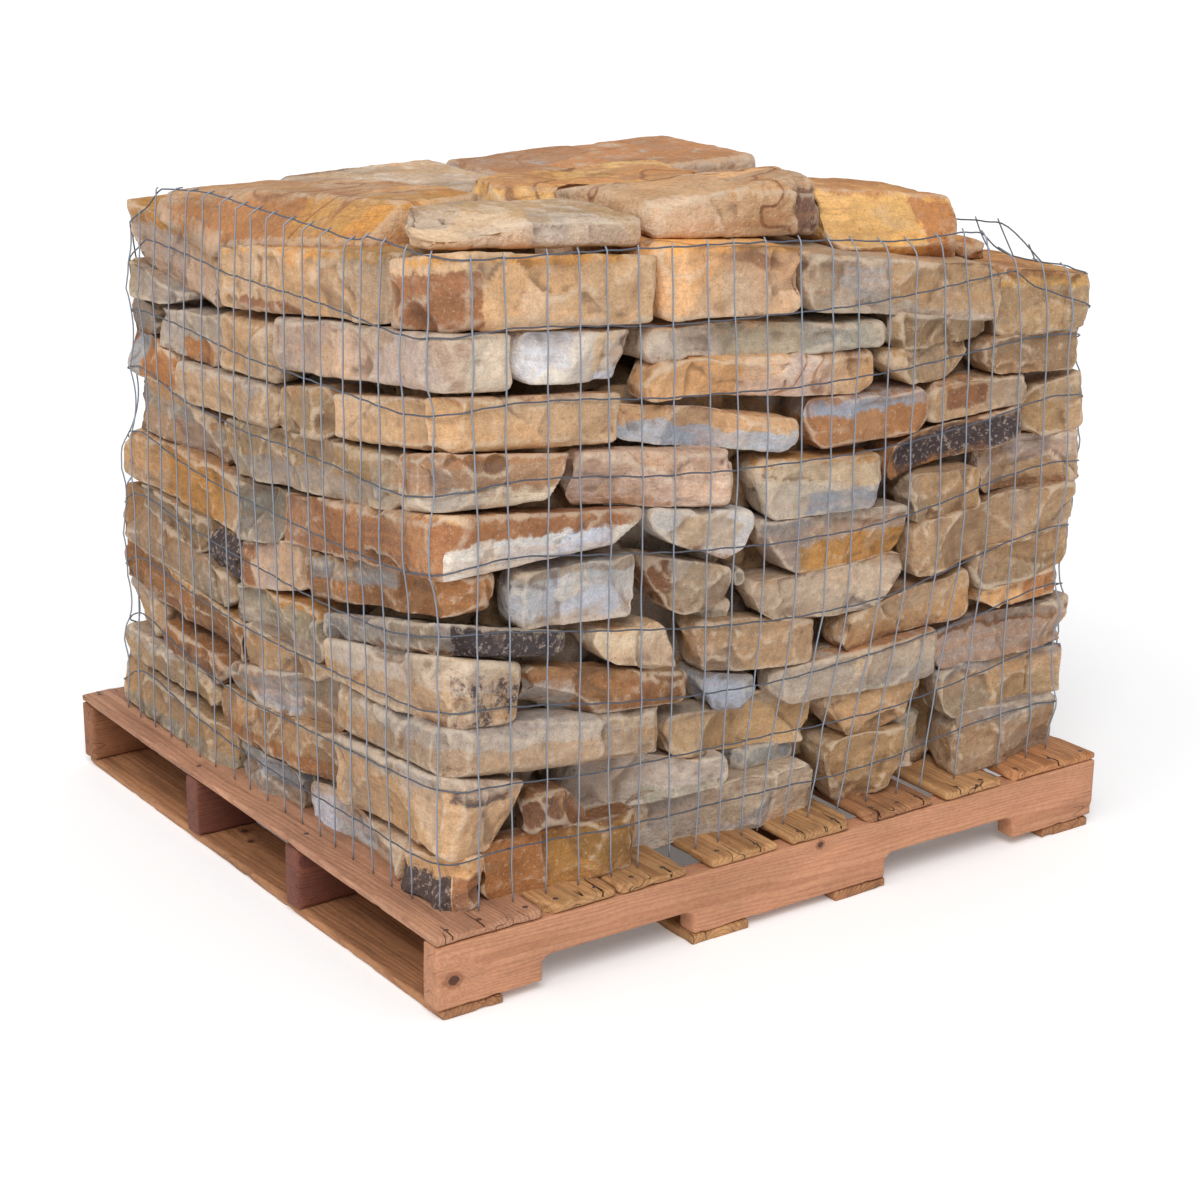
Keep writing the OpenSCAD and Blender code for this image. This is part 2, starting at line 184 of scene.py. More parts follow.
def solidsOf(node):
    # the separate blocks of a CAD node, each as points, faces and its flat sides
    mesh = nodes[node].data
    points = np.empty(len(mesh.vertices) * 3, np.float32)
    mesh.vertices.foreach_get("co", points)
    points = points.reshape(-1, 3).astype(float)
    points = points @ np.array(nodes[node].matrix_world.to_3x3()).T + np.array(nodes[node].matrix_world.translation)
    rounded = np.round(points * 20000).astype(int)
    first, same = np.unique(rounded, axis=0, return_index=True, return_inverse=True)[1:]
    same = same.ravel()
    points = points[first]
    mesh.calc_loop_triangles()
    faces = np.empty(len(mesh.loop_triangles) * 3, np.int32)
    mesh.loop_triangles.foreach_get("vertices", faces)
    faces = same[faces.reshape(-1, 3)]
    faces = faces[(faces[:, 0] != faces[:, 1]) & (faces[:, 1] != faces[:, 2]) & (faces[:, 0] != faces[:, 2])]
    label = np.arange(len(points))
    while True:
        low = label[faces].min(1)
        before = label.copy()
        for c in range(3):
            np.minimum.at(label, faces[:, c], low)
        if (before == label).all():
            break
    solids = []
    for lowest in np.unique(label[faces[:, 0]]):
        own = faces[label[faces[:, 0]] == lowest]
        used, local = np.unique(own, return_inverse=True)
        block = points[used]
        own = local.reshape(-1, 3)
        normal = np.cross(block[own[:, 1]] - block[own[:, 0]], block[own[:, 2]] - block[own[:, 0]])
        area = np.linalg.norm(normal, axis=1)
        normal, area, seat = normal[area > 1e-9], area[area > 1e-9], own[area > 1e-9]
        normal = normal / area[:, None]
        away = (normal * block[seat[:, 0]]).sum(1)
        sides = {}
        for n, d, a in zip(normal, away, area):
            key = tuple(np.round(n, 2)) + (round(d, 3),)
            sides.setdefault(key, [n, d, 0])[2] += a
        solids.append({"points": block, "faces": own, "sides": list(sides.values())})
    return solids


# colours

def shade(r, g, b):
    return tuple(((c / 255 + 0.055) / 1.055) ** 2.4 for c in (r, g, b))


tones = {
    "tan": shade(203, 167, 131), "warm": shade(203, 160, 118), "khaki": shade(190, 158, 122),
    "pale": shade(212, 188, 163), "pink": shade(208, 176, 152), "cream": shade(224, 204, 180),
    "white": shade(222, 212, 203), "grey": shade(189, 172, 156), "blue": shade(172, 173, 176),
    "green": shade(168, 156, 136), "ochre": shade(210, 152, 84), "gold": shade(226, 176, 110),
    "rust": shade(188, 130, 84), "clay": shade(190, 152, 122),
    "ash": shade(212, 210, 210), "brown": shade(150, 104, 74), "dark": shade(112, 82, 66),
    "slate": shade(92, 84, 82),
}

report("frame read")


# shader helpers

def put(tree, kind, settings=None, **links):
    made = tree.nodes.new(kind)
    for key, value in (settings or {}).items():
        setattr(made, key, value)
    for key, value in links.items():
        socket = made.inputs[key.replace("_", " ")]
        if isinstance(value, bpy.types.NodeSocket):
            tree.links.new(value, socket)
        else:
            socket.default_value = value
    return made


def feed(tree, socket, value):
    if isinstance(value, bpy.types.NodeSocket):
        tree.links.new(value, socket)
    else:
        socket.default_value = value


def calc(tree, operation, *values, clamp=False):
    made = put(tree, "ShaderNodeMath", {"operation": operation, "use_clamp": clamp})
    for socket, value in zip(made.inputs, values):
        feed(tree, socket, value)
    return made.outputs[0]


def vectorCalc(tree, operation, a, b):
    made = put(tree, "ShaderNodeVectorMath", {"operation": operation})
    feed(tree, made.inputs[0], a)
    feed(tree, made.inputs[1], b)
    return made.outputs[0]


def mixed(tree, factor, a, b, mode="MIX"):
    made = put(tree, "ShaderNodeMix", {"data_type": "RGBA", "blend_type": mode})
    feed(tree, made.inputs[0], factor)
    feed(tree, made.inputs[6], a if isinstance(a, bpy.types.NodeSocket) else (*a, 1))
    feed(tree, made.inputs[7], b if isinstance(b, bpy.types.NodeSocket) else (*b, 1))
    return made.outputs[2]


def fromTo(tree, value, low, high, outLow=0.0, outHigh=1.0):
    made = put(tree, "ShaderNodeMapRange", {"interpolation_type": "SMOOTHSTEP"})
    for socket, number in zip(made.inputs, (value, low, high, outLow, outHigh)):
        feed(tree, socket, number)
    return made.outputs[0]


def cloud(tree, vector, scale, detail=3.0, roughness=0.55, distortion=0.0):
    made = put(tree, "ShaderNodeTexNoise", None, Vector=vector, Scale=scale, Detail=detail, Roughness=roughness,
               Distortion=distortion)
    return made.outputs[0]


def scaled(tree, vector, factors):
    return vectorCalc(tree, "MULTIPLY", vector, factors)


def times(tree, a, b):
    return calc(tree, "MULTIPLY", a, b)


def around(tree, value, amount, start):
    # start, moved up and down by a value that swings about a half
    return calc(tree, "MULTIPLY_ADD", calc(tree, "SUBTRACT", value, 0.5), amount, start)


def apart(tree, value, middle):
    return calc(tree, "ABSOLUTE", calc(tree, "SUBTRACT", value, middle))


def laid(tree, mask, strength, under, over):
    return mixed(tree, times(tree, mask, strength), under, over)


def dimmed(tree, color, level):
    grey = put(tree, "ShaderNodeCombineColor", None, Red=level, Green=level, Blue=level).outputs[0]
    return mixed(tree, 1.0, color, grey, "MULTIPLY")


def attribute(tree, label):
    return put(tree, "ShaderNodeAttribute", {"attribute_name": label}).outputs


def parted(tree, vector):
    return put(tree, "ShaderNodeSeparateXYZ", None, Vector=vector).outputs


def newMaterial(name):
    material = bpy.data.materials.new(name)
    material.use_nodes = True
    return material, material.node_tree, material.node_tree.nodes["Principled BSDF"]


def coated(name, group, settings, relief, gloss):
    # a material that shows a group's colour, roughness and height
    material, tree, surface = newMaterial(name)
    look = put(tree, "ShaderNodeGroup", {"node_tree": group}, **settings)
    bump = put(tree, "ShaderNodeBump", None, Strength=1.0, Distance=relief, Height=look.outputs["Height"])
    tree.links.new(look.outputs["Color"], surface.inputs["Base Color"])
    tree.links.new(look.outputs["Roughness"], surface.inputs["Roughness"])
    tree.links.new(bump.outputs[0], surface.inputs["Normal"])
    surface.inputs["Specular IOR Level"].default_value = gloss
    return material


def newGroup(name, inputs, outputs):
    tree = bpy.data.node_groups.new(name, "ShaderNodeTree")
    for label, kind, value in inputs:
        socket = tree.interface.new_socket(name=label, in_out="INPUT", socket_type=kind)
        socket.default_value = value
    for label, kind in outputs:
        tree.interface.new_socket(name=label, in_out="OUTPUT", socket_type=kind)
    return tree, tree.nodes.new("NodeGroupInput").outputs, tree.nodes.new("NodeGroupOutput").inputs


# bedded sandstone: two tones, bedding streaks, iron lines, a dark lichen patch, worn edges with a painted highlight on
# the ridges and painted shade in the hollows
stoneGroup, given, wanted = newGroup(
    "sandstone",
    [("Streaks", "NodeSocketFloat", 0.5), ("Contrast", "NodeSocketFloat", 1.0)],
    [("Color", "NodeSocketColor"), ("Roughness", "NodeSocketFloat"), ("Height", "NodeSocketFloat")])
t = stoneGroup
place = put(t, "ShaderNodeTexCoord").outputs["Object"]
toneNode = attribute(t, "tone")
secondNode = attribute(t, "second")
capNode = attribute(t, "cap")
marks = parted(t, attribute(t, "marks")["Vector"])
bed = attribute(t, "bed")["Fac"]
veins = toneNode["Alpha"]
banding = secondNode["Alpha"]
placeParts = parted(t, place)
broad = cloud(t, place, 6.5, 3)
middle = cloud(t, place, 24, 5, 0.62)
fine = cloud(t, place, 95, 6, 0.7)
grain = cloud(t, place, 520, 2, 0.6)
warp = around(t, cloud(t, place, 9, 4, 0.6), 0.035, bed)
layered = put(t, "ShaderNodeCombineXYZ", None, X=times(t, placeParts[0], 3.0), Y=times(t, placeParts[1], 3.0),
              Z=times(t, warp, 75.0)).outputs[0]
strata = cloud(t, layered, 1.0, 5, 0.65)
# the two tones meet along a torn line
tornField = around(t, middle, 1.5, marks[0])
torn = fromTo(t, tornField, -0.10, 0.10)
base = mixed(t, torn, toneNode["Color"], secondNode["Color"])
capField = around(t, middle, 1.9, capNode["Alpha"])
base = laid(t, fromTo(t, capField, -0.15, 0.2), 0.85, base, capNode["Color"])
# slow changes of tint, then streaks along the bedding
light = around(t, broad, times(t, given["Contrast"], 0.75), 1.0)
base = dimmed(t, base, light)
iron = fromTo(t, cloud(t, scaled(t, place, (1, 1, 1.6)), 11, 4, 0.6, 0.6), 0.52, 0.74)
base = laid(t, iron, 0.34, base, tones["warm"])
ashen = fromTo(t, cloud(t, vectorCalc(t, "ADD", place, (3.1, 7.7, 1.9)), 13, 4, 0.6, 0.4), 0.56, 0.72)
base = laid(t, ashen, 0.30, base, tones["grey"])
streak = fromTo(t, strata, 0.46, 0.66)
base = laid(t, streak, times(t, banding, given["Streaks"]), base, tones["rust"])
thin = fromTo(t, apart(t, strata, 0.44), 0.0, 0.022, 1.0, 0.0)
base = laid(t, thin, calc(t, "MULTIPLY_ADD", banding, 0.35, 0.10), base, tones["brown"])
# iron lines that cross the stone
lineField = cloud(t, vectorCalc(t, "ADD", place, (1.7, 0.4, 5.3)), 4.5, 2, 0.5, 0.5)
line = fromTo(t, apart(t, lineField, 0.5), 0.002, 0.014, 1.0, 0.0)
halo = fromTo(t, apart(t, lineField, 0.49), 0.0, 0.05, 1.0, 0.0)
base = laid(t, halo, times(t, veins, 0.45), base, tones["rust"])
base = laid(t, line, times(t, veins, 0.9), base, tones["brown"])
# mottling and grain, then pale worn edges with a painted highlight on the ridges and painted shade in the hollows
mottle = around(t, fine, times(t, given["Contrast"], 1.05), 1.0)
speck = around(t, grain, 0.75, mottle)
base = dimmed(t, base, speck)
bright = fromTo(t, cloud(t, place, 210, 3, 0.6), 0.60, 0.70)
base = laid(t, bright, 0.34, base, tones["cream"])
pits = fromTo(t, cloud(t, vectorCalc(t, "ADD", place, (9.1, 2.2, 4.7)), 150, 4, 0.65), 0.60, 0.70)
base = laid(t, pits, 0.40, base, shade(122, 88, 64))
# ridges are painted paler: partly pale worn edges, partly a painted highlight where light catches them
paleEdgeAndHighlight = fromTo(t, around(t, fine, 1.2, marks[2]), 0.15, 0.9)
base = laid(t, paleEdgeAndHighlight, 0.46, base, tones["cream"])
# painted shade: the hollows between ridges are darkened as if shadowed
hollowShade = fromTo(t, around(t, fine, -1.0, marks[2]), -0.1, -0.75)
base = laid(t, hollowShade, 0.50, base, shade(104, 78, 62))
# lichen: near black, broken up, with pale flecks
lichenField = around(t, cloud(t, place, 32, 7, 0.75), 2.2, marks[1])
lichen = fromTo(t, lichenField, -0.05, 0.25)
flecks = fromTo(t, cloud(t, place, 130, 4, 0.7), 0.53, 0.62)
dusk = mixed(t, flecks, shade(70, 60, 62), shade(156, 138, 128))
base = laid(t, lichen, 0.93, base, dusk)
t.links.new(base, wanted["Color"])
t.links.new(calc(t, "MULTIPLY_ADD", fine, -0.12, 0.93), wanted["Roughness"])
pitted = apart(t, cloud(t, place, 62, 5, 0.62), 0.5)
height = calc(t, "MULTIPLY_ADD", strata, 0.30, times(t, fine, 0.65))
height = calc(t, "MULTIPLY_ADD", middle, 0.9, height)
height = calc(t, "MULTIPLY_ADD", pitted, -1.1, height)
height = calc(t, "MULTIPLY_ADD", grain, 0.14, height)
height = calc(t, "MULTIPLY_ADD", line, times(t, veins, -0.3), height)
t.links.new(height, wanted["Height"])

courseStone = coated("courseStone", stoneGroup, {"Streaks": 0.55, "Contrast": 1.0}, 0.0058, 0.25)
topStone = coated("topStone", stoneGroup, {"Streaks": 0.8, "Contrast": 1.0}, 0.0058, 0.25)
report("stone materials made")

# the stones

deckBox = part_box("deck_board_1")
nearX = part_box("stringer_1")[0][0]
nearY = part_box("stringer_1")[0][1]
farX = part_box("stringer_4")[1][0]
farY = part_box("stringer_4")[1][1]
deckZ = deckBox[1][2]


def look(tone, second=None, zone=None, lichen=None, veins=0.0, bands=0.3, rounds=None, chips=None, cuts=(), cap=None,
         dim=1.0):
    # zone and lichen are boxes: from and to in mm along the face, then as shares of the stone's height; cap is
    # a tone and the share of the height it takes along the upper edge or, below zero, the lower one
    return {"tone": tone, "second": second or tone, "zone": zone, "lichen": lichen, "veins": veins, "bands": bands,
            "rounds": rounds, "chips": chips, "cuts": cuts, "cap": cap, "dim": dim}


# corner stones: u is x along the front and minus y along the left face
looks = {
    1: {"corner": look("warm", "brown", (34, 200, 0, 0.62), (-190, 20, -0.1, 0.66, 0.4), dim=1.1),
        "front": [look("rust", "ochre", (220, 380, 0, 1), bands=0.6, dim=0.86), look("brown", dim=0.96),
                  look("grey", dim=1.05), look("khaki", dim=0.93), look("green", dim=1.34),
                  look("tan", "warm", (1100, None, 0.4, 1), dim=0.9)],
        "left": [look("pale", "ash", (-470, -300, 0, 0.7), bands=0.5, dim=1.08),
                 look("grey", "blue", (None, None, 0.5, 1), dim=0.82),
                 look("khaki", "green", (None, None, 0, 0.4), dim=0.93)]},
    2: {"corner": look("tan", "slate", (52, 148, 0.66, 1.1), bands=0.5, dim=1.03),
        "front": [look("grey", "green", (400, None, 0, 0.35), dim=1.2), look("blue", dim=0.9, cap=("grey", -0.1)),
                  look("tan"), look("khaki", "tan", (None, None, 0.5, 1), dim=0.98)],
        "left": [look("warm", "rust", (None, None, 0, 0.4), bands=0.7, dim=0.9),
                 look("khaki", "pale", (None, None, 0.7, 1), dim=0.93)]},
    3: {"corner": look("tan", "pale", (None, None, 0.55, 1), dim=0.92),
        "front": [look("khaki", dim=1.06), look("ash", dim=0.9), look("grey", "pale", (760, None, 0.4, 1)),
                  look("pink", "brown", (None, None, 0.7, 1), bands=0.7, dim=0.88),
                  look("warm", "rust", (1100, None, 0, 1), dim=1.12)],
        "left": [look("grey", "white", (-700, -480, 0.1, 0.45), bands=0.9, dim=0.8),
                 look("brown", "rust", (None, None, 0.6, 1), dim=0.92), look("tan")]},
    4: {"corner": look("tan", "pale", (None, None, 0.5, 1), (50, 190, -0.1, 0.74, 0.03)),
        "front": [look("rust", "white", (170, 262, 0, 0.75), veins=0.5, bands=0.4, dim=0.78), look("tan", dim=0.86),
                  look("tan", "warm", (None, None, 0, 0.5), dim=0.94),
                  look("khaki", "tan", (None, None, 0.5, 1), dim=0.88)],
        "left": [look("tan", "warm", (None, None, 0.5, 1), dim=0.9),
                 look("brown", "rust", (None, -640, 0.25, 1), bands=0.8, dim=0.82)]},
    5: {"corner": look("grey", "slate", (40, None, 0.0, 1), (5, 250, -0.2, 0.95, 0.3), dim=0.8),
        "front": [look("pale", "cream", (None, None, 0.6, 1), dim=1.06),
                  look("grey", "green", (None, None, 0, 0.5), dim=1.26),
                  look("pale", dim=0.93), look("tan", dim=0.94)],
        "left": [look("green", "grey", (None, None, 0, 0.4), dim=0.93),
                 look("warm", "khaki", (-800, -680, 0, 1), dim=0.8)]},
    6: {"corner": look("rust", "grey", (-400, -200, 0.5, 1.1), bands=0.9, dim=0.8),
        "front": [look("ash", "grey", (None, None, 0.8, 1), dim=0.93),
                  look("pale", "brown", (None, 420, 0, 1), dim=0.8),
                  look("green", dim=0.87), look("pink", "ochre", (640, None, -0.2, 0.5), veins=0.5, dim=0.88),
                  look("tan", "khaki", (None, None, 0, 0.5), dim=0.92),
                  look("tan", "pink", (None, None, 0.5, 1), dim=0.87)],
        "left": [look("pink", "brown", (-640, -590, 0, 1), veins=0.6, dim=0.95),
                 look("dark", None, None, (None, None, 0, 1)), look("khaki", dim=0.8)]},
    7: {"corner": look("brown", "ash", (-50, None, -0.3, 0.53), bands=0.7, veins=0.3, dim=1.04),
        "front": [look("white", "pale", (430, 540, 0.2, 0.8), rounds=3, dim=0.93),
                  look("cream", "blue", (660, None, 0, 0.45), dim=0.93),
                  look("rust", "dark", (840, None, 0, 1), (830, 1062, 0.1, 0.85)), look("khaki", rounds=3, dim=0.96)],
        "left": [look("green", "grey", (None, None, 0, 0.4), dim=0.78),
                 look("warm", "ochre", (-900, -700, 0, 1), bands=0.8, dim=0.94)]},
    8: {"corner": look("clay", "cream", (None, None, -0.2, 0.36), bands=0.9, dim=0.92, cap=("rust", 0.1)),
        "front": [look("pink", bands=0.6, veins=0.25, rounds=2, dim=1.11),
                  look("warm", "blue", (None, None, -0.2, 0.55), dim=1.07),
                  look("blue", "rust", (660, None, -0.2, 0.62), veins=0.7, dim=0.96, cap=("rust", 0.08)),
                  look("tan", "brown", (930, 1000, 0.3, 0.8), dim=0.91)],
        "left": [look("khaki", "grey", (None, None, 0, 0.5), dim=0.93),
                 look("grey", "pink", (None, None, 0, 0.5), dim=0.88)]},
    9: {"corner": look("tan", rounds=2, cap=("brown", 0.07), dim=1.06),
        "front": [look("warm", "pink", (540, 690, -0.2, 1.1), veins=0.8, dim=1.06), look("khaki", dim=0.96),
                  look("warm", dim=0.87)],
        "left": [look("khaki", dim=0.97), look("tan", dim=0.96), look("rust", "blue", (-1010, -960, 0, 1))]},
    10: {"corner": look("pink", "cream", (90, None, 0, 1), rounds=4, cap=("grey", 0.1)),
         "front": [look("ash", "cream", (300, None, 0.1, 1), rounds=3, dim=1.13, cap=("ash", -0.2)),
                   look("green", "grey", (None, 520, 0, 1), dim=1.05), look("khaki", dim=0.86),
                   look("khaki", "gold", (None, None, 0.72, 1.2), dim=0.9)],
         "left": [look("tan", dim=0.91), look("grey", "rust", (-800, -700, 0, 0.5), dim=0.96), look("grey", dim=0.88),
                  look("pale", dim=0.72)]},
    11: {"corner": look("tan", "brown", (None, 112, -0.3, 0.74), rounds=2, bands=0.35, cap=("ochre", 0.17), dim=1.08),
         "front": [look("warm", "tan", (520, None, 0, 1), veins=0.9, rounds=2, cap=("ochre", 0.12), dim=1.18),
                   look("grey", "khaki", (800, None, 0.2, 1), bands=0.6, cap=("tan", 0.1))],
         "left": [look("tan", "brown", (-620, -420, -0.2, 0.22), bands=0.5, rounds=2, cap=("ochre", 0.14)),
                  look("pink", "ochre", (None, None, 0.8, 1.2), bands=0.6, cap=("ochre", 0.22), dim=0.95)]},
}
# slabs on top, in the order of their left ends, and the one along the left face
topLooks = {
    "slab": [
        look("pale", "khaki", (None, None, 0.9, 1.3), (70, 300, 0.74, 1.3, -0.26), chips=2, bands=0.3, rounds=1,
             dim=1.1, cap=("grey", -0.1), cuts=[((0.05, -1, 0.05), 0.008), ((-0.832, 0.555, 0), 0.04)]),
        look("tan", "dark", (688, None, -0.2, 1.2), veins=1.0, bands=0.6, rounds=1, dim=1.1, cap=("warm", 0.22),
             cuts=[((0.1, -0.6, 0.8), 0.012), ((0, 0.217, 1), 0.039)]),
        look("gold", "tan", (None, None, -0.2, 0.5), veins=0.9, rounds=1, dim=1.04, cap=("rust", 0.2),
             cuts=[((-0.5, -0.3, 0.8), 0.035), ((0, 0.05, 1), 0.028)]),
        look("gold", "rust", (922, None, -0.2, 0.9), bands=0.6, rounds=1, cap=("rust", 0.1),
             cuts=[((-0.1, -0.72, 0.69), 0.05), ((0.9, -0.3, 0.3), 0.012)]),
        look("rust", bands=0.6)],
    "along": look("ochre", "rust", (None, -520, -0.2, 1.3), veins=0.8, bands=1.0, rounds=1, cap=("tan", 0.16),
                  chips=10),
}
plainTones = ["tan", "khaki", "warm", "grey", "pale", "tan", "rust", "pink", "green", "khaki", "tan", "cream"]


def boxField(u, h, height, box):
    # above zero inside a box along the face, below zero outside it, about one for 40 mm
    low, high, under, over = box[:4]
    field = np.full(len(u), box[4] if len(box) > 4 else 2.0)
    if low is not None:
        field = np.minimum(field, (u - low) / 40)
    if high is not None:
        field = np.minimum(field, (high - u) / 40)
    if under is not None:
        field = np.minimum(field, (h - under) * height / 0.03)
    if over is not None:
        field = np.minimum(field, (over - h) * height / 0.03)
    return np.clip(field, -2, 2)


def beddingOf(solid):
    # the direction across the layers, from the block's upper and lower faces
    up = max(solid["sides"], key=lambda s: s[2] * (s[0][2] > 0.7))[0]
    down = max(solid["sides"], key=lambda s: s[2] * (s[0][2] < -0.7))[0]
    return unit(up - down)


stoneWork = {"shownVoxel": 0.0045, "hiddenVoxel": 0.0064, "highVoxel": 0.0056, "quickVoxel": 0.0095,
             "growth": 0.0045, "slabGrowth": 0.0015, "backDepth": 0.055, "shownKept": 0.85, "hiddenKept": 0.04}


def netOf(solid, kind, high):
    # the block as an even net, grown a little, with its normals and how fine the net is
    shown = kind in ("front", "left", "corner")
    voxel = stoneWork["shownVoxel"] if shown else stoneWork["hiddenVoxel"]
    voxel = min(voxel, np.ptp(solid["points"][:, 2]) / 6)
    if high:
        voxel = max(voxel, stoneWork["highVoxel"])
    points, quads = modified(solid["points"], solid["faces"], "REMESH",
                             {"mode": "VOXEL", "voxel_size": voxel, "adaptivity": 0.0})
    normal = pointNormals(points, quads)
    growth = normal * stoneWork["slabGrowth" if kind == "top" else "growth"]
    if shown:
        for axis in (0, 1):
            if kind == "corner" or axis == (kind == "front"):
                growth[:, axis] = np.maximum(growth[:, axis], 0.2 * growth[:, axis])
    return points + growth, quads, normal, stoneWork["shownVoxel"] / voxel


def planed(points, n, depth, wave):
    # takes off what stands beyond a slightly wavy plane, depth below the furthest point
    reach = points @ n + wave
    return points - np.outer(np.maximum(reach - (reach.max() - depth), 0), n)


def chipped(points, solid, bend, facing, size, chips, draw, seed):
    # hollows broken out of the edges, and shallow ones on the face
    gaps = np.stack([d + 0.0035 - points @ n for n, d, area in solid["sides"] if area > 2e-5], 1)
    gaps = np.sort(np.maximum(gaps, 0), axis=1)
    edgePoints = np.flatnonzero((gaps[:, 1] < 0.006) & (facing > -0.2))
    facePoints = np.flatnonzero((gaps[:, 1] > 0.012) & (facing > 0.5))
    scoops = [(edgePoints, draw.uniform(0.022, 0.085), draw.uniform(0.003, 0.0105))
              for k in range(int(chips or 5 + size * 40))]
    scoops += [(facePoints, draw.uniform(0.08, 0.30), draw.uniform(0.0012, 0.0036))
               for k in range(int(4 + size * 14))]
    for choice, radius, depth in scoops:
        if len(choice) == 0:
            continue
        at = choice[draw.integers(len(choice))]
        way = unit(bend[at] + draw.normal(0, 0.22, 3))
        centre = points[at] + way * (radius - depth)
        offset = points - centre
        distance = np.linalg.norm(offset * (1, 1, 1.25), axis=1) + 0.0016 * noise(points, 0.02, seed + radius * 1000)
        inside = distance < radius
        push = (radius - distance[inside]) / np.maximum(distance[inside], 1e-4)
        points[inside] += offset[inside] * push[:, None]
    return points


def weathered(points, normal, across, seed):
    # swellings, ledges along the layers and a fine roughness
    onSide = 1 - smoothRamp(np.abs(normal @ across), 0.35, 0.8)
    warped = points @ across + 0.006 * noise(points, 0.09, seed + 3)
    ledge = noise(np.stack([warped * 0, warped * 0, warped], 1), 0.011, seed + 5)
    swell = 0.0028 * noise(points, 0.12, seed) + 0.0022 * (0.4 - np.abs(noise(points, 0.05, seed + 1)))
    rough = 0.0013 * noise(points, 0.02, seed + 2) + 0.0007 * noise(points, 0.010, seed + 4)
    flat = 0.45 + 0.55 * onSide
    return points + normal * (swell * flat + rough * (0.6 + 0.4 * onSide) + 0.0008 * ledge * onSide)[:, None]


def thinned(points, quads, kind, high):
    # fewer triangles, above all on what lies deep in the stack
    if kind in ("top", "along") or high:
        hidden = np.zeros(len(points))
        ratio = 0.5
    else:
        depth = {"front": points[:, 1] - nearY, "left": points[:, 0] - nearX, "right": farX - points[:, 0],
                 "back": farY - points[:, 1],
                 "corner": np.minimum(points[:, 0] - nearX, points[:, 1] - nearY)}[kind]
        depth = depth - depth.min()
        hidden = (depth > stoneWork["backDepth"]).astype(float)
        ratio = (1 - hidden.mean()) * stoneWork["shownKept"] + hidden.mean() * stoneWork["hiddenKept"]
    weights = hidden if hidden.any() else None
    return modified(points, quads, "DECIMATE", {"ratio": float(ratio)}, weights)


def alongFace(points, kind):
    # mm along the face; on a corner stone x along the front and minus y along the left face
    if kind in ("front", "back", "top"):
        return (points[:, 0] - nearX) * 1000
    if kind == "right":
        return (points[:, 1] - nearY) * 1000
    if kind in ("left", "along"):
        return -(points[:, 1] - nearY) * 1000
    frontward = (points[:, 1] - nearY) <= (points[:, 0] - nearX)
    return np.where(frontward, points[:, 0] - nearX, -(points[:, 1] - nearY)) * 1000


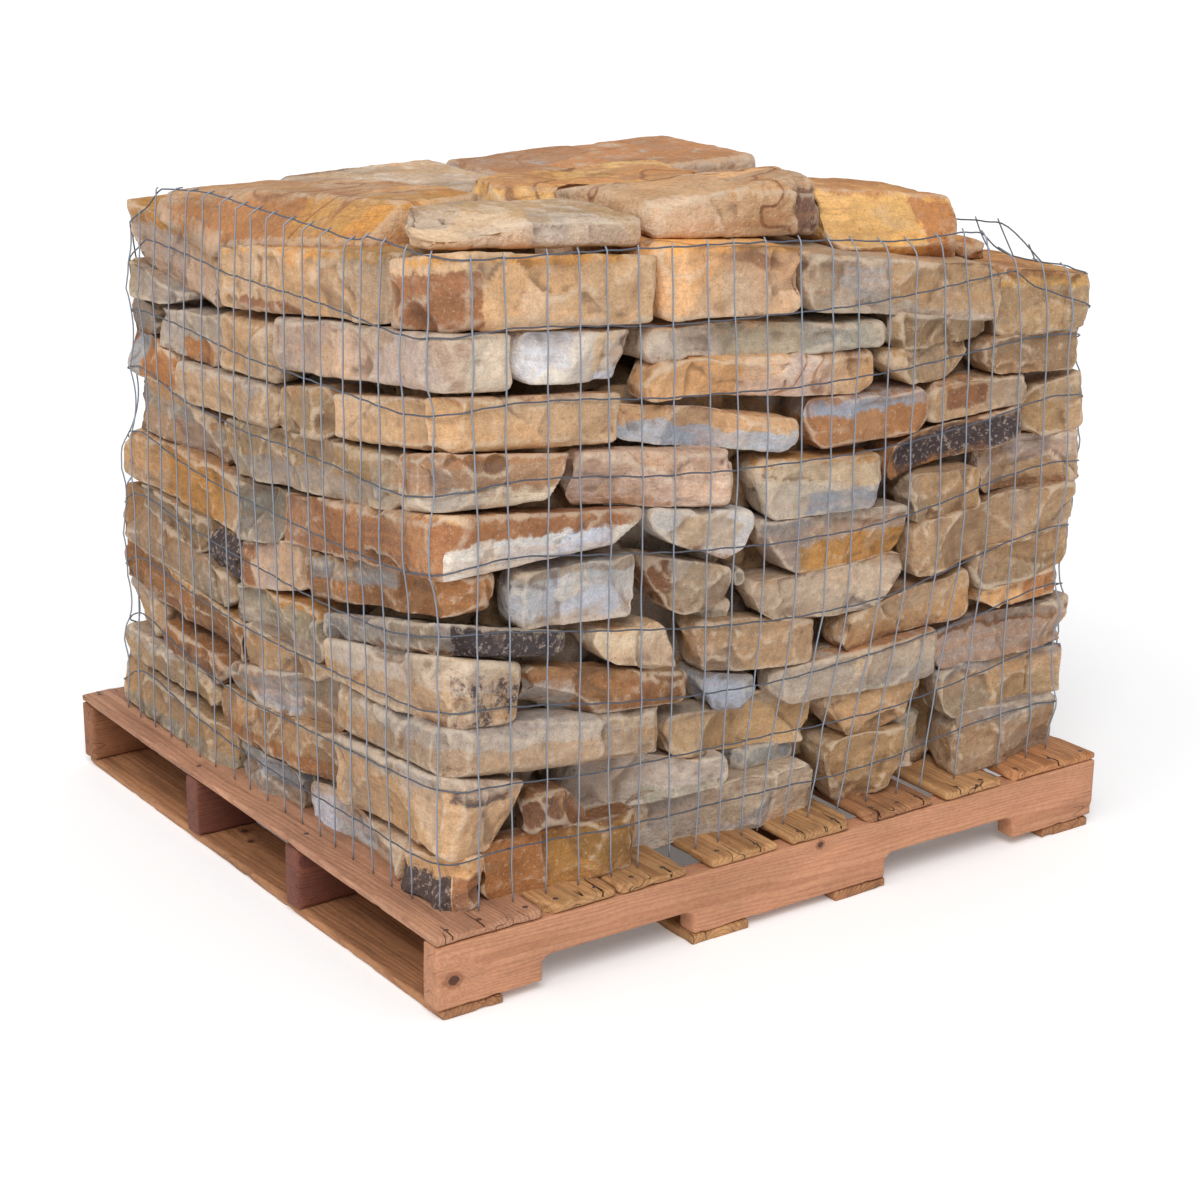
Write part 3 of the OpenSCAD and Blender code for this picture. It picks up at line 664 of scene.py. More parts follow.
def makeStone(name, solid, kind, style, seed, node, material):
    draw = np.random.default_rng(seed)
    out = {"front": (0, -1, 0), "left": (-1, 0, 0), "corner": (-0.7, -0.7, 0), "right": (1, 0, 0),
           "back": (0, 1, 0), "top": (0, -0.35, 0.9), "along": (-0.4, 0, 0.9)}[kind]
    out = unit(out)
    faceAxis = unit((out[0], out[1], 0)) if kind not in ("top", "along") else out
    high = solid["points"][:, 2].max() > deckZ + 0.755
    points, quads, normal, scale = netOf(solid, kind, high)
    across = beddingOf(solid)
    # a few broad facets on the face, then the cuts of the stone's own look
    for k in range(draw.integers(2, 5)):
        n = unit(out + draw.normal(0, 0.13, 3))
        points = planed(points, n, draw.uniform(0.002, 0.007), 0.0010 * noise(points, 0.03, seed + k))
    for n, depth in style["cuts"]:
        points = planed(points, unit(n), depth, 0.005 * noise(points, 0.07, seed))
    bend = relaxed(normal, quads, 4)
    bend = bend / np.linalg.norm(bend, axis=1, keepdims=True)
    facing = bend @ out
    size = np.ptp(points, axis=0).max()
    points = chipped(points, solid, bend, facing, size, style["chips"], draw, seed)
    # the torn face: facets that meet along crisp lines
    visible = np.flatnonzero(facing > -0.25)
    pick = np.random.default_rng(seed + 7000)
    seats = points[visible[pick.integers(len(visible), size=int(4 + size * 30))]]
    tilts = pick.normal(0, 0.085, (len(seats), 3))
    lifts = pick.uniform(-0.0030, 0.0005, len(seats))

    def facetOf(where):
        bent = where + 0.009 * np.stack([noise(where + 0.3 * k, 0.05, seed + 8 + k) for k in range(3)], 1)
        return np.argmin(((bent[:, None] - seats[None]) ** 2).sum(2), 1)

    facet = facetOf(points)
    rise = np.clip(lifts[facet] + ((points - seats[facet]) * tilts[facet]).sum(1), -0.0055, 0.0008)
    onSide = 1 - smoothRamp(np.abs(bend @ across), 0.35, 0.8)
    points = points + bend * (rise * (0.3 + 0.7 * onSide))[:, None]
    rounds = int(draw.integers(1, 3)) if style["rounds"] is None else style["rounds"]
    points = relaxed(points, quads, max(1, round(rounds * scale * scale)), 0.28)
    normal = pointNormals(points, quads)
    points = weathered(points, normal, across, seed)
    if kind == "along":
        rest = np.interp((points[:, 1] - nearY) * 1000, [306, 500, 650, 690, 760, 934], [993, 968, 949, 926, 934, 963])
        lower = smoothRamp(-normal[:, 2], -0.35, 0.1)
        points[:, 2] += lower * (np.minimum(points[:, 2], rest / 1000 + 0.002) - points[:, 2])
        points[:, 0] -= 0.006 * lower * smoothRamp(nearX + 0.12 - points[:, 0], 0, 0.05)
    points, faces = thinned(points, quads, kind, high)
    # what the material reads at every point
    normal = pointNormals(points, faces)
    u = alongFace(points, kind)
    layer = points @ across
    layer = layer - layer.min()
    height = layer.max()
    share = layer / height
    zone = boxField(u, share, height, style["zone"]) if style["zone"] else np.full(len(u), -2.0)
    patch = boxField(u, share, height, style["lichen"]) if style["lichen"] else np.full(len(u), -2.0)
    if style["lichen"] and kind != "top":
        patch = np.where(normal @ faceAxis > 0.15, patch, patch - 0.8)
    capTone, capShare = style["cap"] or draw.choice(
        [("rust", 0.12), ("ochre", 0.15), ("brown", -0.12), ("grey", 0.2), ("pale", -0.2), ("warm", 0.25),
         ("tan", 0.1), ("tan", 0.1), ("brown", 0.06)])
    capShare = float(capShare)  # a drawn pair comes back as text
    rim = (share - 1 + capShare if capShare > 0 else -capShare - share) * height / 0.03
    # above zero on ridges and below zero in hollows; the material paints the ridges paler (worn edges and a painted
    # highlight) and the hollows darker (painted shade)
    ridgeAndHollow = ridges(points, faces, normal)
    mesh = newMesh(name, points, faces)
    mesh.shade_smooth()
    jitter = pick.uniform(0.98, 1.02) if kind in ("front", "left", "corner") else pick.uniform(0.9, 1.08)
    hue = draw.uniform(-0.02, 0.02)
    tint = np.array([jitter * (1 + hue), jitter, jitter * (1 - hue)]) * style["dim"] ** 2.2
    # painted light and shade: stones higher in the stack are painted lighter and lower ones darker, as light falls from
    # above
    tint = tint * (0.86 + 0.17 * smoothRamp(points[:, 2].mean(), 0.1, 1.0))
    # facets broken at different times differ in tone
    facetTint = np.ones((len(seats), 3)) * pick.uniform(0.80, 1.14, (len(seats), 1))
    warmth = pick.choice([-0.09, -0.03, 0, 0.03, 0.08], len(seats))[:, None]
    facetTint = facetTint * (1 + warmth * np.array([[0.8, 0, -1.4]]))
    facetTint = facetTint[facetOf(points)]
    for label, tone, extra in (("tone", style["tone"], style["veins"]), ("second", style["second"], style["bands"]),
                               ("cap", capTone, np.clip(rim, -2, 2))):
        colour = np.ones((len(points), 4), np.float32)
        colour[:, :3] = np.array(tones[tone]) * tint * facetTint
        colour[:, 3] = extra
        mark(mesh, label, colour)
    mark(mesh, "marks", np.stack([zone, patch, ridgeAndHollow], 1))
    mark(mesh, "bed", layer + seed % 7)
    mesh.materials.append(material)
    piece = linked(name, mesh)
    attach(piece, "root")
    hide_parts(node)
    return points, faces


def kindOf(solid):
    low, high = solid["points"].min(0), solid["points"].max(0)
    if low[0] < nearX + 0.06 and low[1] < nearY + 0.06:
        return "corner"
    if low[1] < nearY + 0.125:
        return "front"
    if low[0] < nearX + 0.09:
        return "left"
    return "right" if high[0] > farX - 0.04 else "back"


stonePoints, stoneFaces = [], []
pointCount = 0


def keep(result):
    # remembers every stone's surface for the mesh that is laid over them
    global pointCount
    points, faces = result
    stonePoints.append(points)
    stoneFaces.append(faces + pointCount)
    pointCount += len(points)


for course in range(1, 12):
    groups = {"corner": [], "front": [], "left": [], "right": [], "back": []}
    for solid in solidsOf(f"course_{course}"):
        groups[kindOf(solid)].append(solid)
    for kind, solids in groups.items():
        solids.sort(key=lambda s: s["points"][:, 1 if kind in ("left", "right") else 0].min())
        for i, solid in enumerate(solids):
            seed = course * 100 + "cflrb".index(kind[0]) * 20 + i
            if kind == "corner":
                style = looks[course]["corner"]
            elif kind in ("front", "left"):
                style = looks[course][kind][i]
            else:
                draw = np.random.default_rng(seed + 5000)
                style = look(plainTones[draw.integers(len(plainTones))], plainTones[draw.integers(len(plainTones))],
                             (None, None, draw.uniform(0.2, 0.9), 1.2), veins=draw.uniform(0, 0.4),
                             bands=draw.uniform(0.1, 0.8), rounds=int(draw.integers(1, 4)))
            keep(makeStone(f"stone_{course:02d}_{kind}_{i + 1}", solid, kind, style, seed, f"course_{course}",
                           courseStone))
    report(f"course {course} shaped")

slabs = solidsOf("top_stones")
slabs.sort(key=lambda s: s["points"][:, 0].min())
along = min(slabs, key=lambda s: s["points"][:, 0].min() + (np.ptp(s["points"][:, 1]) < 0.5))
slabs = [s for s in slabs if s is not along]
upper = [s for s in slabs if s["points"][:, 2].max() > deckZ + 0.85 or np.ptp(s["points"][:, 0]) < 0.1]
inner = [s for s in slabs if not any(s is k for k in upper)]
keep(makeStone("slab_along", along, "along", topLooks["along"], 900, "top_stones", topStone))
for i, solid in enumerate(upper):
    keep(makeStone(f"slab_{i + 1}", solid, "top", topLooks["slab"][i], 910 + i, "top_stones", topStone))
for i, solid in enumerate(inner):
    style = look(["tan", "gold", "warm", "pale"][i % 4], bands=0.6)
    keep(makeStone(f"slab_inner_{i + 1}", solid, "top", style, 930 + i, "top_stones", topStone))
report(f"stones shaped, {sum(len(f) for f in stoneFaces)} triangles")


def makeRubble(name, points, faces, patches):
    mesh = newMesh(name, points, faces)
    mesh.shade_smooth()
    count = len(points)
    for label, tone, extra in (("tone", "khaki", 0.0), ("second", "grey", 0.3), ("cap", "brown", -1.0)):
        mark(mesh, label, np.tile((*tones[tone], extra), (count, 1)))
    mark(mesh, "marks", np.stack([patches, np.full(count, -1.0), np.zeros(count)], 1))
    mark(mesh, "bed", points[:, 2])
    mesh.materials.append(courseStone)
    return linked(name, mesh)


# the rubble behind the outer stones, dark and rough
for solid in solidsOf("stone_core"):
    points, quads = modified(solid["points"], solid["faces"], "REMESH",
                             {"mode": "VOXEL", "voxel_size": 0.013, "adaptivity": 0.0})
    normal = pointNormals(points, quads)
    layer = points[:, 2] + 0.012 * noise(points * (1, 1, 0.3), 0.3, 4)
    joint = np.abs((layer / 0.075) % 1 - 0.5) * 2
    lump = noise(points * (1, 1, 1.6), 0.11, 6)
    points = relaxed(points, quads, 2)
    points = points - normal * (0.004 + 0.02 * smoothRamp(joint, 0.7, 1.0) + 0.012 * lump)[:, None]
    points, faces = modified(points, quads, "DECIMATE", {"ratio": 0.5})
    heart = makeRubble("rubble_heart", points, faces, 2 * noise(points * (1, 1, 1.6), 0.11, 6))
    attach(heart, "root")
    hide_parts("stone_core")
    keep((points, faces))

# small stones packed behind the outer ones close the view through the joints
low = np.array([nearX + 0.122, nearY + 0.122, deckZ + 0.002])
high = np.array([farX - 0.100, farY - 0.122, deckZ + 0.70])
points = np.array([[(low, high)[c >> k & 1][k] for k in range(3)] for c in range(8)])
faces = [(0, 2, 3, 1), (4, 5, 7, 6), (0, 1, 5, 4), (2, 6, 7, 3), (0, 4, 6, 2), (1, 3, 7, 5)]
points, quads = modified(points, faces, "REMESH",
                         {"mode": "VOXEL", "voxel_size": 0.014, "adaptivity": 0.0})
normal = pointNormals(points, quads)
lump = np.abs(noise(points * (1, 1, 1.5), 0.06, 41))
points = points - normal * (0.004 + 0.035 * (1 - smoothRamp(lump, 0.0, 0.4)) + 0.004 * noise(points, 0.03, 42))[:, None]
points, faces = modified(points, quads, "DECIMATE", {"ratio": 0.6})
packing = makeRubble("packing_stones", points, faces, 2 * noise(points, 0.09, 6))
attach(packing, "root")
report(f"heart and packing made, {len(faces)} triangles in the packing")

# the welded mesh

# columns run once round the stack; each looks straight out of the stack from a point inside it
meshWork = {"setIn": 0.115, "step": 0.006, "quickStep": 0.012, "wireRadius": 0.00125, "passes": 1300,
            "quickPasses": 400, "band": 0.13, "steepest": 62, "uprightPitch": 0.0535, "levelPitch": 0.1016,
            "hiddenLow": 0.128, "hiddenDrop": 0.040, "shownRise": 0.052}
meshLow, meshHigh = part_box("mesh_corner_1")[0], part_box("mesh_corner_3")[1]
meshLeft, meshRight = meshLow[0], meshHigh[0]
meshFront, meshBack = meshLow[1], meshHigh[1]
setIn, wireRadius = meshWork["setIn"], meshWork["wireRadius"]
step = meshWork["step"]
corners = [(meshRight - setIn, meshFront + setIn, -90), (meshRight - setIn, meshBack - setIn, 0),
           (meshLeft + setIn, meshBack - setIn, 90), (meshLeft + setIn, meshFront + setIn, 180)]
sideNodes = ["mesh_front", "mesh_corner_2", "mesh_right", "mesh_corner_3", "mesh_back", "mesh_corner_4", "mesh_left",
             "mesh_corner_1"]
basePoints, outward, along, spans = [], [], [], []
travelled = 0.0
for k in range(4):
    fromX, fromY, angle = corners[k - 1]
    toX, toY, angle = corners[k]
    length = math.hypot(toX - fromX, toY - fromY)
    count = round(length / step)
    n = (math.cos(math.radians(angle)), math.sin(math.radians(angle)))
    spans.append((len(along), travelled))
    for i in range(count):
        share = i / count
        basePoints.append((fromX + (toX - fromX) * share, fromY + (toY - fromY) * share))
        outward.append(n)
        along.append(travelled + length * share)
    travelled += length
    arc = setIn * math.pi / 2
    count = round(arc / step)
    spans.append((len(along), travelled))
    for i in range(count):
        turnBy = math.radians(angle + 90 * i / count)
        basePoints.append((toX, toY))
        outward.append((math.cos(turnBy), math.sin(turnBy)))
        along.append(travelled + arc * i / count)
    travelled += arc
spans.append((len(along), travelled))
base = np.array(basePoints)
outward = np.array(outward)
along = np.array(along)
columns = len(along)
levels = np.arange(deckZ + 0.001, deckZ + 0.935, step)

allPoints = np.concatenate(stonePoints)
allFaces = np.concatenate(stoneFaces)
tree = BVHTree.FromPolygons(allPoints.tolist(), allFaces.tolist())
report("surfaces gathered")
reach = np.full((columns, len(levels)), -0.02)
for i in range(columns):
    startX, startY = base[i] + outward[i] * 0.2
    direction = Vector((-outward[i][0], -outward[i][1], 0))
    for j, z in enumerate(levels):
        distance = tree.ray_cast(Vector((startX, startY, z)), direction, 0.26)[3]
        if distance is not None:
            reach[i, j] = 0.2 - distance
clear = wireRadius + 0.0008
# a stone's edge between two rays still holds the wire off
near = reach.copy()
for shift in (-1, 1):
    near = np.maximum(near, np.roll(reach, shift, axis=0) - 0.0015)
    near[:, 1:-1] = np.maximum(near[:, 1:-1], reach[:, 1 + shift:len(levels) - 1 + shift] - 0.0015)
near = near + clear
report("stack's outline found")

# where the faces end and the mesh turns in over the top
face = np.sort(near, axis=1)[:, int(len(levels) * 0.6)]
topRow = np.array([np.flatnonzero(near[i] > face[i] - 0.05).max() for i in range(columns)])
foldZ = levels[topRow] + 0.002


def ringBlur(values, width, rounds=2):
    kernel = np.ones(2 * width + 1) / (2 * width + 1)
    for _ in range(rounds):
        values = np.convolve(np.concatenate([values[-width:], values, values[:width]]), kernel, "valid")
    return values


wide = max(2, round(0.03 / step))
foldZ = ringBlur(np.max([np.roll(foldZ, k) for k in range(-wide, wide + 1)], axis=0), wide)
foldZ = np.minimum(foldZ, deckZ + 0.9)

# a skin drawn tight over the outline
skin = near.copy()
block = max(2, round(0.05 / step))
skin = np.max([np.roll(skin, k, axis=0) for k in range(-block, block + 1)], axis=0)
for _ in range(meshWork["passes"]):
    px = base[:, :1] + outward[:, :1] * skin
    py = base[:, 1:] + outward[:, 1:] * skin
    side = ((np.roll(px, 1, 0) + np.roll(px, -1, 0)) / 2 - base[:, :1]) * outward[:, :1] \
        + ((np.roll(py, 1, 0) + np.roll(py, -1, 0)) / 2 - base[:, 1:]) * outward[:, 1:]
    up = np.empty_like(skin)
    up[:, 1:-1] = (skin[:, 2:] + skin[:, :-2]) / 2
    up[:, 0], up[:, -1] = skin[:, 1], skin[:, -2]
    skin = np.maximum(near, 0.5 * side + 0.5 * up)
report("skin drawn tight")

# how steeply the top band lies over the stones inside it
foldRow = (foldZ - levels[0]) / step
foldBase = np.array([np.interp(foldRow[i], np.arange(len(levels)), skin[i]) for i in range(columns)])
lean = np.zeros(columns)
for i in range(columns):
    for inward in np.arange(0.012, meshWork["band"], 0.008):
        x, y = base[i] + outward[i] * (foldBase[i] - inward)
        hit = tree.ray_cast(Vector((x, y, deckZ + 1.1)), Vector((0, 0, -1)), 0.4)[0]
        if hit is not None:
            lean[i] = max(lean[i], math.atan2(hit[2] + 0.004 - foldZ[i], inward))
lean = np.minimum(lean, math.radians(meshWork["steepest"]))
lean = ringBlur(np.max([np.roll(lean, k) for k in range(-4, 5)], axis=0), wide)
lean = np.maximum(lean, math.radians(4))


def onSkin(s, v, lift):
    # the place on the mesh s round the stack and v up it, lift beyond the skin
    at = np.interp(np.mod(s, travelled), np.append(along, travelled), np.arange(columns + 1))
    low = np.floor(at).astype(int) % columns
    high = (low + 1) % columns
    f = (at - np.floor(at))[:, None]
    n = outward[low] * (1 - f) + outward[high] * f
    n = n / np.linalg.norm(n, axis=1, keepdims=True)
    b = base[low] * (1 - f) + base[high] * f
    f = f[:, 0]
    fold = foldZ[low] * (1 - f) + foldZ[high] * f
    angle = lean[low] * (1 - f) + lean[high] * f
    rise = np.clip(np.minimum(v, fold) - levels[0], 0, None) / step
    row = np.clip(np.floor(rise).astype(int), 0, len(levels) - 2)
    g = np.clip(rise - row, 0, 1)
    w = (skin[low, row] * (1 - g) + skin[low, row + 1] * g) * (1 - f) \
        + (skin[high, row] * (1 - g) + skin[high, row + 1] * g) * f
    over = np.maximum(v - fold, 0)
    out = w + lift * np.where(over > 0, np.sin(angle), 1) - over * np.cos(angle)
    z = np.minimum(v, fold) + over * np.sin(angle) + np.where(over > 0, lift * np.cos(angle), 0)
    return np.stack([b[:, 0] + n[:, 0] * out, b[:, 1] + n[:, 1] * out, z], 1), n


# heights of the level wires in mm, above the floor: along the front, then along the left face
frontAt = [60, 200, 400, 600, 800, 1000, 1180]
leftAt = [60, 200, 400, 600, 800, 1000]
frontLevels = [[211, 204, 189, 182, 180, 210, 219], [315, 292, 278, 271, 265, 286, 314],
               [426, 404, 368, 351, 363, 382, 415], [534, 508, 473, 446, 444, 480, 507],
               [633, 616, 586, 562, 559, 588, 611], [732, 724, 695, 679, 673, 685, 716],
               [834, 828, 803, 788, 786, 796, 807], [936, 926, 901, 892, 892, 901, 909],
               [1024, 1019, 1008, 994, 984, 962, 948]]
leftLevels = [[187, 194, 182, 176, 186, 222], [301, 301, 283, 267, 274, 322], [406, 406, 392, 383, 390, 412],
              [513, 498, 490, 491, 497, 516], [598, 596, 588, 587, 593, 620], [701, 702, 701, 693, 696, 726],
              [811, 812, 809, 804, 810, 809], [917, 919, 922, 915, 920, 924], [1030, 1032, 1033, 1026, 1030, 1032]]


def pathAt(x, y):
    # how far round the stack the mesh passes nearest to a point
    place = base + outward * setIn
    return along[np.argmin((place[:, 0] - x) ** 2 + (place[:, 1] - y) ** 2)]


marksAt = [pathAt(nearX + x / 1000, meshFront) for x in frontAt]
marksAt += [pathAt(meshRight, nearY + y / 1000) for y in (200, 400, 600, 800, 1000)]
marksAt += [pathAt(nearX + x / 1000, meshBack) for x in (1150, 1000, 800, 600, 400, 200, 60)]
marksAt += [pathAt(meshLeft, nearY + y / 1000) for y in leftAt[::-1]]
draw = np.random.default_rng(5)
sway = draw.normal(0, 0.009, 12)
sway = np.cumsum(sway) - np.linspace(0, sway.sum(), 12)
levelHeights = []
for k in range(9):
    plain = meshWork["hiddenLow"] + meshWork["levelPitch"] * k
    hidden = plain + sway + draw.normal(0, 0.003, 12)
    values = np.array([z / 1000 for z in frontLevels[k]] + hidden.tolist() + [z / 1000 for z in leftLevels[k][::-1]])
    order = np.argsort(marksAt)
    curve = np.interp(along, np.array(marksAt)[order], values[order], period=travelled)
    levelHeights.append(ringBlur(curve, max(1, round(0.05 / step)), 3))
levelHeights = np.array(levelHeights)
# away from the two faces in view the mesh ends where the stones' tops begin
unseen = smoothRamp(along, spans[1][1], spans[2][1]) * (1 - smoothRamp(along, spans[6][1] + 0.06, spans[6][1] + 0.16))
rightEnd = smoothRamp(along, spans[1][1] - 0.12, spans[1][1] - 0.02)
limit = foldZ - meshWork["hiddenDrop"] + meshWork["shownRise"] * (1 - unseen)
limit = limit + 0.3 * (1 - np.maximum(unseen, rightEnd))
levelHeights[8] = ringBlur(np.minimum(levelHeights[8], limit), max(1, round(0.02 / step)), 2)
levelHeights[7] = np.minimum(levelHeights[7], levelHeights[8] - 0.05)

uprightCount = round(travelled / meshWork["uprightPitch"])
levelCount = len(levelHeights)
# each upright's place round the stack at the deck, at every level wire and at its top
home = np.arange(uprightCount) * travelled / uprightCount
knots = home[:, None] + draw.normal(0, 0.0016, (uprightCount, levelCount + 1)).cumsum(1) * 0.8 \
    + draw.normal(0, 0.0022, (uprightCount, 1))
xHome = np.interp(home, along, base[:, 0] - nearX)
onFront = (home < spans[1][1])
pull = np.where(onFront, smoothRamp(xHome, 0.45, 0.7) * (1 - smoothRamp(xHome, 0.95, 1.1)), 0)
knots -= 0.05 * pull[:, None] * (1 - smoothRamp(np.arange(levelCount + 1), 0, 3.5))[None, :]
wireParts = {name: [[], [], 0, []] for name in sideNodes}


def addWire(name, line, guide, radius, tint, sides=5):
    part = wireParts[name]
    tangent = np.gradient(line, axis=0)
    tangent /= np.linalg.norm(tangent, axis=1, keepdims=True)
    first = guide - tangent * (guide * tangent).sum(1, keepdims=True)
    first /= np.linalg.norm(first, axis=1, keepdims=True)
    other = np.cross(tangent, first)
    turns = np.arange(sides) * 2 * math.pi / sides
    ring = line[:, None] + radius * (np.cos(turns)[None, :, None] * first[:, None]
                                     + np.sin(turns)[None, :, None] * other[:, None])
    count = len(line)
    a = np.arange(count - 1)[:, None] * sides + np.arange(sides)[None, :]
    b = np.arange(count - 1)[:, None] * sides + (np.arange(sides)[None, :] + 1) % sides
    quads = np.stack([a, b, b + sides, a + sides], 2).reshape(-1, 4)
    start = part[2]
    part[0].append(ring.reshape(-1, 3))
    part[1] += (quads + start).tolist()
    part[1].append([start + k for k in range(sides)][::-1])
    part[1].append([start + (count - 1) * sides + k for k in range(sides)])
    part[2] += count * sides
    part[3] += [tint] * (count * sides)


def sectionOf(s):
    s = s % travelled
    return max(i for i in range(8) if spans[i][1] <= s + 1e-9)


stretch = 0.012
for i in range(uprightCount):
    heights = np.array([np.interp(home[i], along, levelHeights[k]) for k in range(levelCount)])
    stops = np.concatenate([[deckZ + 0.001], heights, [heights[-1] + 0.006]])
    places = np.concatenate([[2 * knots[i, 0] - knots[i, 1]], knots[i, :levelCount], [knots[i, levelCount - 1]]])
    v = np.unique(np.concatenate([np.arange(stops[0], stops[-1], stretch), stops]))
    s = np.interp(v, stops, places)
    s = s + 0.0006 * np.sin(v * 62 + i * 2.4)
    line, n = onSkin(s, v, 2 * wireRadius)
    guide = np.stack([-n[:, 1], n[:, 0], 0 * v], 1)
    addWire(sideNodes[sectionOf(home[i])], line, guide, wireRadius, 0.0)
for k in range(levelCount):
    crossings = np.sort(knots[:, k])
    for section in range(8):
        s = np.linspace(spans[section][1], spans[section + 1][1],
                        max(3, round((spans[section + 1][1] - spans[section][1]) / stretch)))
        v = np.interp(s, along, levelHeights[k], period=travelled)
        phase = np.interp(s, np.concatenate([crossings - travelled, crossings, crossings + travelled]),
                          np.arange(-uprightCount, 2 * uprightCount))
        v = v + 0.0007 * np.sin(phase * math.pi * 2 + k) + 0.0012 * noise(np.stack([s, s * 0 + k, s * 0], 1), 0.07, k)
        line, n = onSkin(s, v, 0.0)
        addWire(sideNodes[section], line, np.tile([0.0, 0.0, 1.0], (len(s), 1)), wireRadius, 1.0)

wireMaterial, t, surface = newMaterial("galvanisedWire")
place = put(t, "ShaderNodeTexCoord").outputs["Object"]
kind = attribute(t, "kind")["Fac"]
dull = cloud(t, place, 60, 4, 0.7)
# uprights (kind 0) take the paler zinc colour and level wires (kind 1) the darker one: painted shade on the level
# wires, which are the same galvanised wire
zinc = mixed(t, dull, shade(118, 126, 140), shade(158, 164, 174))
dim = mixed(t, dull, shade(62, 66, 76), shade(104, 108, 118))
t.links.new(mixed(t, kind, zinc, dim), surface.inputs["Base Color"])
surface.inputs["Metallic"].default_value = 0.35
t.links.new(fromTo(t, dull, 0.3, 0.7, 0.42, 0.62), surface.inputs["Roughness"])
for name, (rings, faces, count, tints) in wireParts.items():
    mesh = newMesh(name + "_wires", np.concatenate(rings), faces)
    mesh.shade_smooth()
    mark(mesh, "kind", tints)
    mesh.materials.append(wireMaterial)
    piece = linked(name + "_wires", mesh)
    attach(piece, "root")
    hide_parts(name)
report("mesh laid over the stones")

# the pallet

timberGroup, given, wanted = newGroup(
    "sawnTimber", [("Ring Width", "NodeSocketFloat", 0.006), ("Saw Marks", "NodeSocketFloat", 0.3)],
    [("Color", "NodeSocketColor"), ("Roughness", "NodeSocketFloat"), ("Height", "NodeSocketFloat")])
t = timberGroup
grainAt = attribute(t, "grain")["Vector"]
parts = parted(t, grainAt)
toneNode = attribute(t, "tone")
secondNode = attribute(t, "second")
logAt = parted(t, attribute(t, "log")["Vector"])
ends = attribute(t, "ends")["Fac"]
bend = times(t, calc(t, "SUBTRACT", cloud(t, scaled(t, grainAt, (2.2, 6, 6)), 1, 3), 0.5), 0.05)
knotRise, knotCore, knotRing = None, None, None
for label in ("knotA", "knotB"):
    knot = parted(t, attribute(t, label)["Vector"])
    wobble = around(t, cloud(t, grainAt, 90, 3), 0.9, 1.0)
    far = calc(t, "SQRT", calc(t, "ADD", calc(t, "POWER", times(t, knot[0], 0.75), 2.0),
                               calc(t, "POWER", knot[1], 2.0)))
    far = times(t, calc(t, "DIVIDE", far, knot[2]), wobble)
    rise = times(t, fromTo(t, far, 0.4, 4.0, 1.0, 0.0), knot[2])
    core = fromTo(t, far, 0.55, 0.85, 1.0, 0.0)
    ring = fromTo(t, apart(t, far, 1.0), 0.0, 0.5, 1.0, 0.0)
    knotRise = rise if knotRise is None else calc(t, "ADD", knotRise, rise)
    knotCore = core if knotCore is None else calc(t, "MAXIMUM", knotCore, core)
    knotRing = ring if knotRing is None else calc(t, "MAXIMUM", knotRing, ring)
sideways = calc(t, "ADD", calc(t, "MULTIPLY_ADD", parts[0], 0.035, calc(t, "SUBTRACT", parts[1], logAt[0])), bend)
deep = calc(t, "SUBTRACT", parts[2], logAt[1])
radius = calc(t, "SQRT", calc(t, "ADD", calc(t, "POWER", sideways, 2.0), calc(t, "POWER", deep, 2.0)))
radius = calc(t, "MULTIPLY_ADD", knotRise, 1.6, radius)
cycle = calc(t, "FRACT", calc(t, "DIVIDE", radius, given["Ring Width"]))
lateWood = times(t, fromTo(t, cycle, 0.45, 0.92), fromTo(t, cycle, 0.94, 1.0, 1.0, 0.0))
shifted = vectorCalc(t, "ADD", grainAt, put(t, "ShaderNodeCombineXYZ", None, X=logAt[2], Y=logAt[2],
                                            Z=0.0).outputs[0])
fibre = cloud(t, scaled(t, shifted, (14, 420, 420)), 1, 4, 0.65)
ribbon = cloud(t, scaled(t, shifted, (3.0, 60, 60)), 1, 4, 0.6)
stain = cloud(t, scaled(t, shifted, (5, 14, 14)), 1, 4, 0.6)
pores = fromTo(t, cloud(t, scaled(t, shifted, (45, 900, 900)), 1, 2, 0.5), 0.60, 0.72)
base = laid(t, lateWood, 0.55, toneNode["Color"], secondNode["Color"])
base = mixed(t, fromTo(t, ribbon, 0.42, 0.72, 0.0, 0.5), base, secondNode["Color"])
level = around(t, fibre, 0.45, 1.0)
level = around(t, stain, 0.8, level)
dust = cloud(t, scaled(t, shifted, (110, 150, 150)), 1, 5, 0.75)
level = around(t, dust, 0.75, level)
level = calc(t, "SUBTRACT", level, times(t, pores, 0.16))
sawing = calc(t, "SINE", calc(t, "MULTIPLY_ADD", parts[0], 1900.0, times(t, stain, 22.0)))
sawing = times(t, sawing, times(t, given["Saw Marks"], fromTo(t, ribbon, 0.4, 0.6)))
level = calc(t, "MULTIPLY_ADD", sawing, 0.05, level)
base = dimmed(t, base, level)
grime = fromTo(t, cloud(t, scaled(t, shifted, (9, 22, 22)), 1, 6, 0.7), 0.54, 0.76)
base = laid(t, grime, secondNode["Alpha"], base, shade(104, 70, 50))
